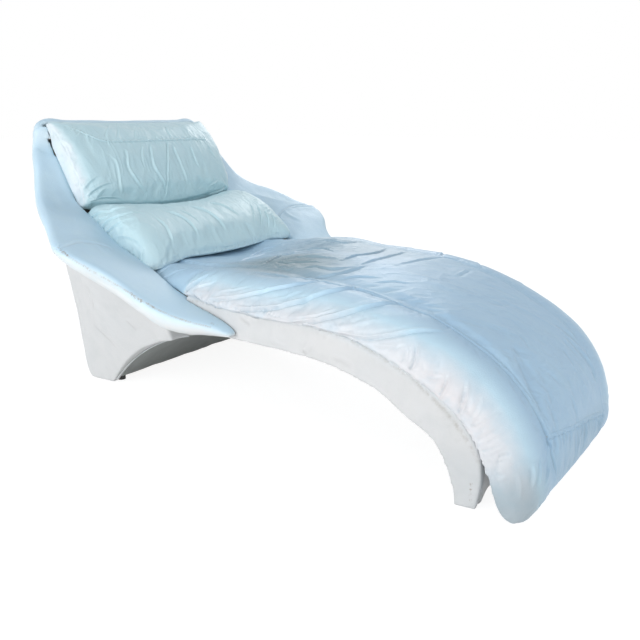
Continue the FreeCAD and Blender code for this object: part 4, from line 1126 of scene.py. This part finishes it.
# %% Back cushion
BACK_SLOPE = math.radians(58.7)
BACK_FOOT_PLACE = np.array([-0.56, 0, 0.36])
BACK_VOXEL = 0.0062
BACK_HALF_WIDTH = 0.3425
BACK_SEAM = [
    (57, 121), (68, 126), (80, 131), (91, 136), (102, 140), (121, 141), (150, 140), (180, 139), (206, 139),
]
BACK_FOLDS = [
    ([(105, 150), (117, 162), (121, 185), (124, 198)], 5, 2.2, 0.8, 0.4, 0.3),
    ([(126, 148), (128, 155), (130, 168), (141, 185), (150, 196)], 5, 2.8, 0.9, 0.1, 0.4),
    ([(151, 144), (153, 158), (156, 168), (165, 183), (169, 196)], 5, 3, 0.9, 0.1, 0.3),
    ([(168, 142), (168.5, 160), (168, 177), (166, 198)], 3.2, 2.8, 1.0, 0.05, 0.1),
    ([(173, 145), (179, 157), (184, 170), (189, 192)], 5, 2.8, 0.9, 0.1, 0.4),
    ([(191, 146), (197, 162), (203, 170)], 4.3, 2.5, 0.9, 0.1, 0.5),
    ([(143, 145), (143, 158), (147, 172)], 3.6, 1.9, 0.8, 0.1, 0.5),
    ([(208, 144), (214, 155), (220, 163)], 4.3, 1.9, 0.8, 0.2, 0.5),
    ([(236, 183), (226, 188), (217, 192), (204, 196)], 4.3, 3.1, 0.9, 0.1, 0.5),
    ([(230, 176), (218, 181), (208, 187)], 4.3, 2.5, 0.9, 0.1, 0.5),
    ([(86, 197), (93, 190), (104, 184), (117, 181)], 4.3, 3.1, 0.9, 0.1, 0.5),
    ([(82, 190), (90, 181), (100, 174)], 5, 2.5, 0.8, 0.2, 0.5),
    ([(88, 202), (98, 198), (112, 197), (128, 199)], 3.6, 2.5, 0.9, 0.1, 0.5),
    ([(64, 140), (70, 146), (74, 156)], 5, 1.9, 0.7, 0.3, 0.5),
    ([(110, 124), (108, 131), (107, 138)], 3.6, 1.9, 0.8, 0.3, 0.1),
    ([(118, 123), (119, 131), (118, 139)], 3.6, 1.9, 0.8, 0.3, 0.1),
    ([(140, 125), (136, 132), (137, 138)], 4.3, 1.9, 0.8, 0.3, 0.1),
    ([(166, 125), (168, 131), (172, 137)], 4.3, 1.9, 0.8, 0.3, 0.1),
]
UPRIGHT = ((-0.5, 0.1, 0.85), (0.05, 1, 0.1), (0.8, 0, 0.5))
ASLANT = ((-0.3, 0.6, 0.6), (0.1, 0.9, -0.4), (0.8, 0, 0.5))
back_along = np.array([-math.cos(BACK_SLOPE), 0, math.sin(BACK_SLOPE)])
back_out = np.array([math.sin(BACK_SLOPE), 0, math.cos(BACK_SLOPE)])

back = solid_copy("back_cushion")
remesh(back, BACK_VOXEL)
relax(back, 6)
# It widens above the arms' inner edges, at its near top corner and then all along its sides.
points = read_points(back)
along = (points - BACK_FOOT_PLACE) @ back_along
out = (points - BACK_FOOT_PLACE) @ back_out
share = rise(along, 0.25, 0.31) * rise(out, 0.006, 0.020)
share *= rise(np.abs(points[:, 1]), 0.27, 0.33)
points[:, 1] += np.sign(points[:, 1]) * share * 0.016
write_points(back, points)
pull(back, (-0.82, -0.345, 0.83), (0.07, 0.07, 0.07), (0.006, 0.013, -0.003))
points = read_points(back)
aside = np.abs(points[:, 1])
wider = np.minimum(aside + 0.007 * rise(aside, 0.28, 0.33), BACK_HALF_WIDTH)
points[:, 1] = np.sign(points[:, 1]) * np.maximum(aside, wider)
write_points(back, points)
swell(back, rise(read_normals(back) @ back_out, -0.1, -0.5), 0.009)
subdivide(back)
sketch = Relief(back)
back_folds = sketch.drawn(BACK_FOLDS)
back_seam = sketch.drawn_lines(BACK_SEAM)[0]
refine(back, [row[0] for row in back_folds] + [back_seam])
relief = Relief(back)
for row in back_folds:
    relief.fold(*row)
relief.gathers(back_seam, 0.014, 0.034, 0.0015, 31, width=0.0038)
relief.gathers(back_seam, 0.014, 0.028, 0.0014, 32, side=-1, width=0.0038)
relief.lap(back_seam, 0.008, 0.0014, 0.15, 0.02)
front_face = rise(relief.normals @ back_out, 0.45, 0.80)
relief.ripple(UPRIGHT, 0.10, 0.028, 0.0016, 34, where=front_face)
relief.ripple(UPRIGHT, 0.07, 0.016, 0.0012, 35, where=front_face, ridged=True)
relief.ripple(ASLANT, 0.05, 0.016, 0.0006, 36, where=front_face)
relief.apply()
# painted_sky: less on faces turned sideways, which take the painted light of the upright colour; the seam
# is darkened along its line
sideways = rise(np.abs(neighbour_mean(back, relief.normals, 12)[:, 1]), 0.30, 0.75)
finish_leather(back, "back_leather", 1 - 0.75 * sideways, grimy_and_shaded=[(back_seam, 0.003)])
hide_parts("back_cushion")

# %% [markdown]
# ## Lumbar pillow
#
# A soft roll that has slumped forward onto the seat. Its cover is too big for the filling, so it
# falls in arcs over the front, and its two ends are bunched tight against the arms.

# %% Lumbar pillow
PILLOW_VOXEL = 0.006
PILLOW_PULLS = [
    # place, reach, shift: each end and the middle slump forward, and the near lower corner hangs out
    ((-0.36, -0.30, 0.43), (0.12, 0.14, 0.10), (0.012, -0.006, -0.020)),
    ((-0.36, 0.0, 0.43), (0.08, 0.40, 0.06), (0.006, 0, -0.010)),
    ((-0.37, 0.33, 0.44), (0.12, 0.11, 0.10), (0.018, 0.010, -0.010)),
    ((-0.36, -0.335, 0.425), (0.05, 0.06, 0.05), (-0.004, -0.014, -0.010)),
]
PILLOW_END = [(84, 206), (92, 219), (100, 232), (112, 244), (125, 254), (146, 267)]
PILLOW_FAR_END = [(240, 190), (256, 200), (272, 212), (284, 226)]
PILLOW_HEM = [(149, 268), (170, 262), (200, 257), (230, 249), (260, 239), (282, 231)]
PILLOW_FOLDS = [
    ([(98, 232), (108, 220), (121, 214), (141, 212), (152, 215)], 4.3, 3.7, 0.9, 0.1, 0.5),
    ([(101, 236), (112, 227), (126, 219), (139, 216)], 3.6, 3.1, 0.9, 0.1, 0.5),
    ([(88, 221), (102, 211), (121, 207), (142, 206)], 4.3, 3.7, 0.9, 0.1, 0.5),
    ([(86, 214), (97, 207), (112, 204)], 3.6, 3.1, 0.9, 0.1, 0.5),
    ([(93, 227), (104, 217), (118, 211)], 3.6, 2.8, 0.9, 0.1, 0.5),
    ([(150, 214), (159, 219), (167, 226), (173, 240), (175, 250)], 5, 2.8, 0.8, 0.3, 0.4),
    ([(160, 209), (172, 212), (186, 218), (197, 230), (202, 243)], 5.4, 3.7, 0.9, 0.3, 0.4),
    ([(183, 205), (196, 207), (208, 211), (222, 222), (230, 235)], 5.4, 3.7, 0.9, 0.3, 0.4),
    ([(204, 202), (220, 204), (236, 212), (243, 221)], 5, 2.8, 0.9, 0.3, 0.4),
    ([(176, 209), (190, 214), (200, 222)], 3.6, 1.9, 0.9, 0.3, 0.5),
    ([(112, 238), (124, 236), (136, 240), (146, 250)], 5, 1.9, 0.7, 0.3, 0.4),
    ([(258, 206), (262, 216), (262, 228)], 2.9, 2.5, 0.9, 0.2, 0.3),
    ([(265, 210), (269, 219), (269, 229)], 2.9, 2.5, 0.9, 0.2, 0.3),
    ([(272, 214), (275, 221), (275, 229)], 2.9, 2.5, 0.9, 0.2, 0.3),
    ([(250, 202), (254, 212), (254, 226)], 2.9, 1.9, 0.9, 0.2, 0.3),
]
OVER_FRONT = ((0.6, -0.2, -0.75), (0.1, 1, 0.0), (0.75, 0, 0.6))

pillow = solid_copy("lumbar_pillow")
remesh(pillow, PILLOW_VOXEL)
relax(pillow, 7)
for row in PILLOW_PULLS:
    pull(pillow, *row)
normals = read_normals(pillow)
facing_back = rise(normals @ back_out, -0.1, -0.5)
facing_down = rise(normals[:, 2], -0.5, -0.8)
swell(pillow, np.maximum(facing_back, facing_down), 0.008)
subdivide(pillow)
sketch = Relief(pillow)
pillow_folds = sketch.drawn(PILLOW_FOLDS)
near_end, far_end, hem = sketch.drawn_lines(PILLOW_END, PILLOW_FAR_END, PILLOW_HEM)
refine(pillow, [row[0] for row in pillow_folds] + [near_end, hem])
relief = Relief(pillow)
for row in pillow_folds:
    relief.fold(*row)
relief.gathers(near_end, 0.014, 0.055, 0.0017, 41, side=-1, slant=-0.4, width=0.0040)
relief.gathers(far_end, 0.012, 0.045, 0.0018, 42, width=0.0038)
relief.gathers(hem, 0.018, 0.024, 0.0013, 45, side=-1, width=0.0040)
front_face = rise(relief.normals @ back_out, -0.1, 0.3)
relief.ripple(OVER_FRONT, 0.10, 0.026, 0.0014, 43, where=front_face)
relief.ripple(OVER_FRONT, 0.07, 0.016, 0.0011, 44, where=front_face, ridged=True)
relief.apply()
# painted_sky: from 0.7 on faces turned down to 1 on faces turned up, for the painted sky reflection and
# shade
finish_leather(pillow, "back_leather", 0.7 + 0.3 * facing_up(pillow, relief.normals, -0.3, 0.5))
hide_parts("lumbar_pillow")

# %% [markdown]
# ## Arms
#
# Leather stretched over thick foam, so it is smooth, with a seam across each elbow where two hides
# meet. The ridge is rubbed, and cracked through to the hide in a few places. The left arm mirrors
# the right one's folds.

# %% Arms
ARM_VOXEL = 0.006
WING_PIXELS = [(39, 137), (39, 152)]
EAR_PIXELS = [(40, 134)]
WING_PULL = ((0.08, 0.08, 0.10), (-0.009, -0.007, 0.003))
EAR_PULL = ((0.05, 0.06, 0.05), (0.0, 0.0, 0.014))
ARM_PULLS = [
    # right arm's place, reach, shift: they close the slits to the top roll and to the pedestal
    ((-0.825, -0.348, 0.80), (0.05, 0.04, 0.08), (0.015, 0.017, 0.008)),
    ((-0.73, -0.35, 0.66), (0.05, 0.05, 0.10), (0.002, 0.007, 0.002)),
    ((-0.80, -0.375, 0.66), (0.06, 0.06, 0.09), (-0.009, 0.0, -0.007)),
    ((-0.862, -0.362, 0.785), (0.035, 0.035, 0.045), (-0.007, 0.008, 0.007)),
]
FAR_ARM_PULLS = [((-0.27, -0.50, 0.43), (0.16, 0.14, 0.10), (-0.015, 0.011, 0))]
ELBOW_SEAM = [(57, 250), (60, 246), (65, 244), (76, 241), (91, 242), (108, 246), (116, 251)]
ARM_RIDGE = [
    (62, 252), (75, 261), (90, 270), (108, 280), (128, 292), (146, 303), (163, 312), (186, 321), (210, 327),
]
ARM_CRACKS = [
    # pixels, width in mm
    ([(58, 248), (62, 251), (67, 255)], 7), ([(131, 294), (136, 298), (141, 301)], 8),
    ([(148, 304), (153, 307)], 6), ([(84, 266), (90, 270)], 5), ([(112, 283), (117, 286)], 5),
    ([(212, 323), (217, 325)], 5),
]
ARM_FOLDS = [
    ([(76, 262), (104, 279), (132, 295), (160, 308)], 6, 1.4, 0.6, 0.3, 0.3),
    ([(80, 239), (94, 243), (104, 250), (112, 258)], 10, 1.8, 0.5, 0.4, 0.4),
    ([(66, 236), (74, 226), (76, 210)], 20, 2, 0.4, 0.4, 0.4),
]
ALONG_ARM = ((1, 0, -0.5), (0.2, 1, 0), (0.4, 0, 1))
ACROSS_ARM = ((1, 0.4, 0), (0, 0.5, 1), (0, 1, -0.4))
REAR_EDGE_X = -0.866
REAR_EDGE_LEAN = 0.272
REAR_EDGE_TOP = 0.79

for hand, node in ((1, "arm_pad_right"), (-1, "arm_pad_left")):
    arm = solid_copy(node)
    remesh(arm, ARM_VOXEL)
    full = read_points(arm)
    relax(arm, 5)
    # Relaxing draws the thin wing in, so its rear edge keeps the places it had before.
    from_rear = full[:, 0] - REAR_EDGE_X + REAR_EDGE_LEAN * (full[:, 2] - REAR_EDGE_TOP)
    kept = rise(from_rear, 0.075, 0.025) * rise(full[:, 2], 0.36, 0.44)
    points = read_points(arm)
    points += kept[:, None] * (full - points)
    points[:, 0] -= 0.004 * kept
    points[:, 2] += 0.004 * rise(full[:, 2], 0.77, 0.81)
    write_points(arm, points)
    subdivide(arm)
    if hand == 1:
        sketch = Relief(arm)
        arm_pulls = [(place, *WING_PULL) for place in sketch.draw(WING_PIXELS)]
        arm_pulls += [(place, *EAR_PULL) for place in sketch.draw(EAR_PIXELS)] + ARM_PULLS
    for row in arm_pulls + (FAR_ARM_PULLS if hand == -1 else []):
        pull(arm, *row, hand)
    relief = Relief(arm)
    if hand == 1:
        arm_folds, arm_cracks = map(relief.drawn, (ARM_FOLDS, ARM_CRACKS))
        right_lines = relief.drawn_lines(ELBOW_SEAM, ARM_RIDGE)
    elbow, ridge = (on_hand(line, hand) for line in right_lines)
    relief.fold(elbow, 0.006, 0.0030, 0.8, 0.05, 0.2)
    for line, *sizes in arm_folds:
        relief.fold(on_hand(line, hand), *sizes)
    relief.ripple(ALONG_ARM, 0.20, 0.08, 0.0014, 53)
    relief.ripple(ACROSS_ARM, 0.05, 0.025, 0.0005, 54)
    relief.apply()
    # painted_sky: the sky's reflection and shade, painted by how far the arm faces up; darkened along the
    # rubbed ridge and the elbow seam
    finish_leather(
        arm, "arm_leather", facing_up(arm, relief.normals, -0.45, 0.75, 24),
        rubbed=[(on_hand(line, hand), width) for line, width in arm_cracks],
        grimy_and_shaded=[(ridge, 0.005), (elbow, 0.002)],
    )
    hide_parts(node)

# %% [markdown]
# ## Covers of the frame
#
# The rails, the pedestal, the outside back and the foot are boards under thin foam, with the same
# leather pulled tight and stapled underneath. They stay flat, and show only long shallow creases.
# The top roll is softer, the welts are thin cords, and a lining closes the underside. The two large
# flat panels need fewer faces than the rest.

# %% Covers
COVERS = {
    # slot, voxel, relaxing rounds, share of the faces that is kept
    "rail_cover": ("side_leather", 0.0042, 4, 1),
    "pedestal_cover": ("side_leather", 0.0048, 2, 1),
    "top_roll": ("arm_leather", 0.0045, 4, 1),
    "outside_back": ("side_leather", 0.004, 3, 0.4),
    "foot_end_cover": ("side_leather", 0.004, 1, 1),
    "welt": ("welt_leather", 0.0022, 1, 1),
    "underside_cover": ("lining_cloth", 0.0045, 1, 0.4),
}
COVER_PULLS = {
    # near side's place, reach, shift
    "rail_cover": [
        ((0.74, -0.368, 0.02), (0.08, 0.05, 0.09), (0.012, -0.007, -0.003)),
        ((0.75, -0.360, 0.09), (0.06, 0.05, 0.13), (0.020, 0.0, 0.0)),
        ((0.71, -0.368, 0.0), (0.05, 0.05, 0.04), (0.003, -0.005, -0.005)),
        ((0.58, -0.36, 0.19), (0.14, 0.06, 0.06), (-0.004, -0.002, -0.010)),
        ((-0.18, -0.350, 0.36), (0.10, 0.03, 0.02), (0.0, 0.004, 0.006)),
    ],
    "foot_end_cover": [
        ((0.765, -0.34, 0.06), (0.06, 0.09, 0.16), (0.018, -0.006, -0.003)),
        ((0.765, 0.34, 0.06), (0.06, 0.09, 0.16), (0.018, 0.006, -0.003)),
    ],
    "pedestal_cover": [
        ((-0.635, -0.372, 0.03), (0.09, 0.06, 0.12), (-0.012, -0.010, -0.003)),
        ((-0.67, -0.372, 0.14), (0.08, 0.07, 0.15), (-0.007, -0.005, 0.0)),
        ((-0.815, -0.366, 0.67), (0.06, 0.03, 0.10), (0.004, 0.0, 0.007)),
    ],
    "top_roll": [
        ((-0.84, -0.36, 0.83), (0.06, 0.07, 0.06), (-0.011, -0.009, 0.002)),
        ((-0.835, -0.345, 0.808), (0.04, 0.05, 0.035), (0.013, 0.0, -0.013)),
    ],
}
RAIL_TOP = [
    (0.0, -0.368, 0.352), (0.15, -0.368, 0.354), (0.30, -0.368, 0.352), (0.45, -0.368, 0.330),
    (0.56, -0.368, 0.290), (0.66, -0.368, 0.225), (0.73, -0.368, 0.15),
]
RAIL_FOOT = [
    (-0.10, -0.368, 0.262), (0.10, -0.368, 0.264), (0.30, -0.368, 0.264), (0.45, -0.368, 0.240),
    (0.57, -0.368, 0.20), (0.66, -0.368, 0.12), (0.70, -0.368, 0.04),
]
COVER_FOLDS = {
    "pedestal_cover": [
        ([(82, 279), (89, 288), (93, 298), (95, 316)], 8, 2.8, 0.9, 0.3, 0.3),
        ([(93, 322), (106, 335), (119, 348)], 6, 1.8, 0.9, 0.3, 0.3),
        ([(125, 318), (132, 324), (139, 331)], 6, 1.8, 0.9, 0.3, 0.3),
        ([(76, 290), (82, 320), (88, 350)], 12, 2, 0.7, 0.3, 0.3),
    ],
    "rail_cover": [
        ([(303, 348), (308, 353), (312, 359)], 6, 2.8, 0.9, 0.3, 0.1),
        ([(240, 314), (246, 320), (252, 323)], 6, 2, 0.9, 0.3, 0.3),
        ([(268, 338), (280, 344), (292, 350)], 8, 1.6, 0.8, 0.3, 0.3),
        ([(330, 352), (345, 359), (356, 366)], 8, 1.6, 0.8, 0.3, 0.3),
    ],
}
COVER_SCUFFS = {
    "rail_cover": [
        ([(262, 345), (280, 351), (300, 358)], 4), ([(318, 362), (336, 370)], 3),
        ([(471, 484), (471, 503)], 4),
    ],
}
# Painted shadow: a dark line on the rail covers and the welts just under the seat's overhanging hem.
UNDER_HEM = [(x - 0.004, -0.371, z - 0.007) for x, y, z in SEAT_HEM[:-1]]
DRAWN_OUT = ((1, 0, -0.3), (0.3, 0.5, 1), (0, 1, 0))
COVER_HEIGHT = {"welt": 0.0003}
# ranges of facing_up for each cover's painted sky reflection and shade
COVER_FACING = {"top_roll": (-0.45, 0.75)}
COVER_HEM_SHADOW = {stem: [(UNDER_HEM, 0.009)] for stem in ("rail_cover", "welt")}
COVER_DULL = {
    # near side's place, reach, most
    "rail_cover": [((0.74, -0.37, 0.05), (0.20, 0.2, 0.14), 0.16)],
    "pedestal_cover": [((-0.5, 0, 0.15), (1.0, 1.2, 1.0), 0.10)],
}


def hands_of(stem):
    """A cover's nodes with their hands: right and left, or one in the middle."""
    pair = {stem + "_right": 1, stem + "_left": -1}
    return pair if set(pair) <= set(nodes) else {stem: 1}


for stem, (slot, voxel, rounds, kept) in COVERS.items():
    for node, hand in hands_of(stem).items():
        cover = solid_copy(node)
        remesh(cover, voxel)
        relax(cover, rounds)
        if kept < 1:
            lighten(cover, kept)
        for row in COVER_PULLS.get(stem, []):
            pull(cover, *row, hand)
        relief = Relief(cover)
        if hand == 1:
            folds, scuffs = (relief.drawn(table.get(stem, [])) for table in (COVER_FOLDS, COVER_SCUFFS))
        for line, *sizes in folds:
            relief.fold(on_hand(line, hand), *sizes)
        if stem == "rail_cover":
            relief.gathers(on_hand(RAIL_TOP, hand), 0.03, 0.025, 0.0014, 61, side=hand, width=0.006)
            relief.gathers(on_hand(RAIL_FOOT, hand), 0.035, 0.025, 0.0014, 62, side=-hand, width=0.006)
        relief.ripple(DRAWN_OUT, 0.13, 0.05, COVER_HEIGHT.get(stem, 0.0018), 63)
        relief.apply(0.006)
        keep_above_floor(cover)
        # painted_sky: from how far each cover faces up
        finish_leather(
            cover, slot, facing_up(cover, relief.normals, *COVER_FACING.get(stem, (0.0, 0.9))),
            rubbed=[(on_hand(line, hand), width) for line, width in scuffs],
            grimy_and_shaded=[(on_hand(line, hand), width) for line, width in COVER_HEM_SHADOW.get(stem, [])],
            dull_and_shade=[((x, hand * y, z), reach, most) for (x, y, z), reach, most in COVER_DULL.get(stem, [])],
        )
        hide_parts(node)

# %% [markdown]
# ## Stitches
#
# A row of short stitches holds each lapped seam. Every stitch is a small closed pod that lies
# along the seam and is half sunk into the leather.

# %% Stitches
STITCH_PITCH = 0.0058
STITCH_SIZE = (0.0019, 0.00055, 0.00050)
STITCH_LIFT = 0.0001
# share of the painted sky reflection and shade in the stitches' colour
STITCH_PAINTED_SKY = 0.8


def stitch_rows(name, piece, rows, slot):
    """Stitches along lines over a piece, each row beside its line by an offset."""
    surface = BVHTree.FromObject(piece, bpy.context.evaluated_depsgraph_get())
    shape = bmesh.new()
    for points, offset in rows:
        line = smooth_line(points, STITCH_PITCH)
        for place, way in zip(line, directions(line)):
            first, normal, _, _ = surface.find_nearest(place)
            side = Vector(way).cross(normal).normalized()
            spot, normal, _, _ = surface.find_nearest(first + side * offset)
            along = (Vector(way) - normal * Vector(way).dot(normal)).normalized()
            turn = Matrix((along, normal.cross(along), normal)).transposed().to_4x4()
            raised = Matrix.Translation(spot + normal * STITCH_LIFT)
            pose = raised @ turn @ Matrix.Diagonal((*STITCH_SIZE, 1))
            bmesh.ops.create_uvsphere(shape, u_segments=6, v_segments=4, radius=1, matrix=pose)
    mesh = bpy.data.meshes.new(name)
    shape.to_mesh(mesh)
    shape.free()
    mesh.materials.append(finishes[slot])
    mesh.shade_smooth()
    stitches = bpy.data.objects.new(name, mesh)
    scene.collection.objects.link(stitches)
    write_attribute(stitches, "painted_sky", np.full(len(mesh.vertices), STITCH_PAINTED_SKY))
    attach(stitches, "root")
    print(name, len(mesh.polygons), "faces")


seat_rows = [(SEAT_NEAR_SEAM, 0.0030), (SEAT_FAR_SEAM, -0.0030), (SEAT_CROSS_SEAM, 0.0026)]
stitch_rows("seat_stitches", seat, seat_rows, "seat_leather")
stitch_rows("back_stitches", back, [(back_seam, 0.0024)], "back_leather")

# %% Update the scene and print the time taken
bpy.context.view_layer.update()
print("made in", round(time.time() - started), "s")
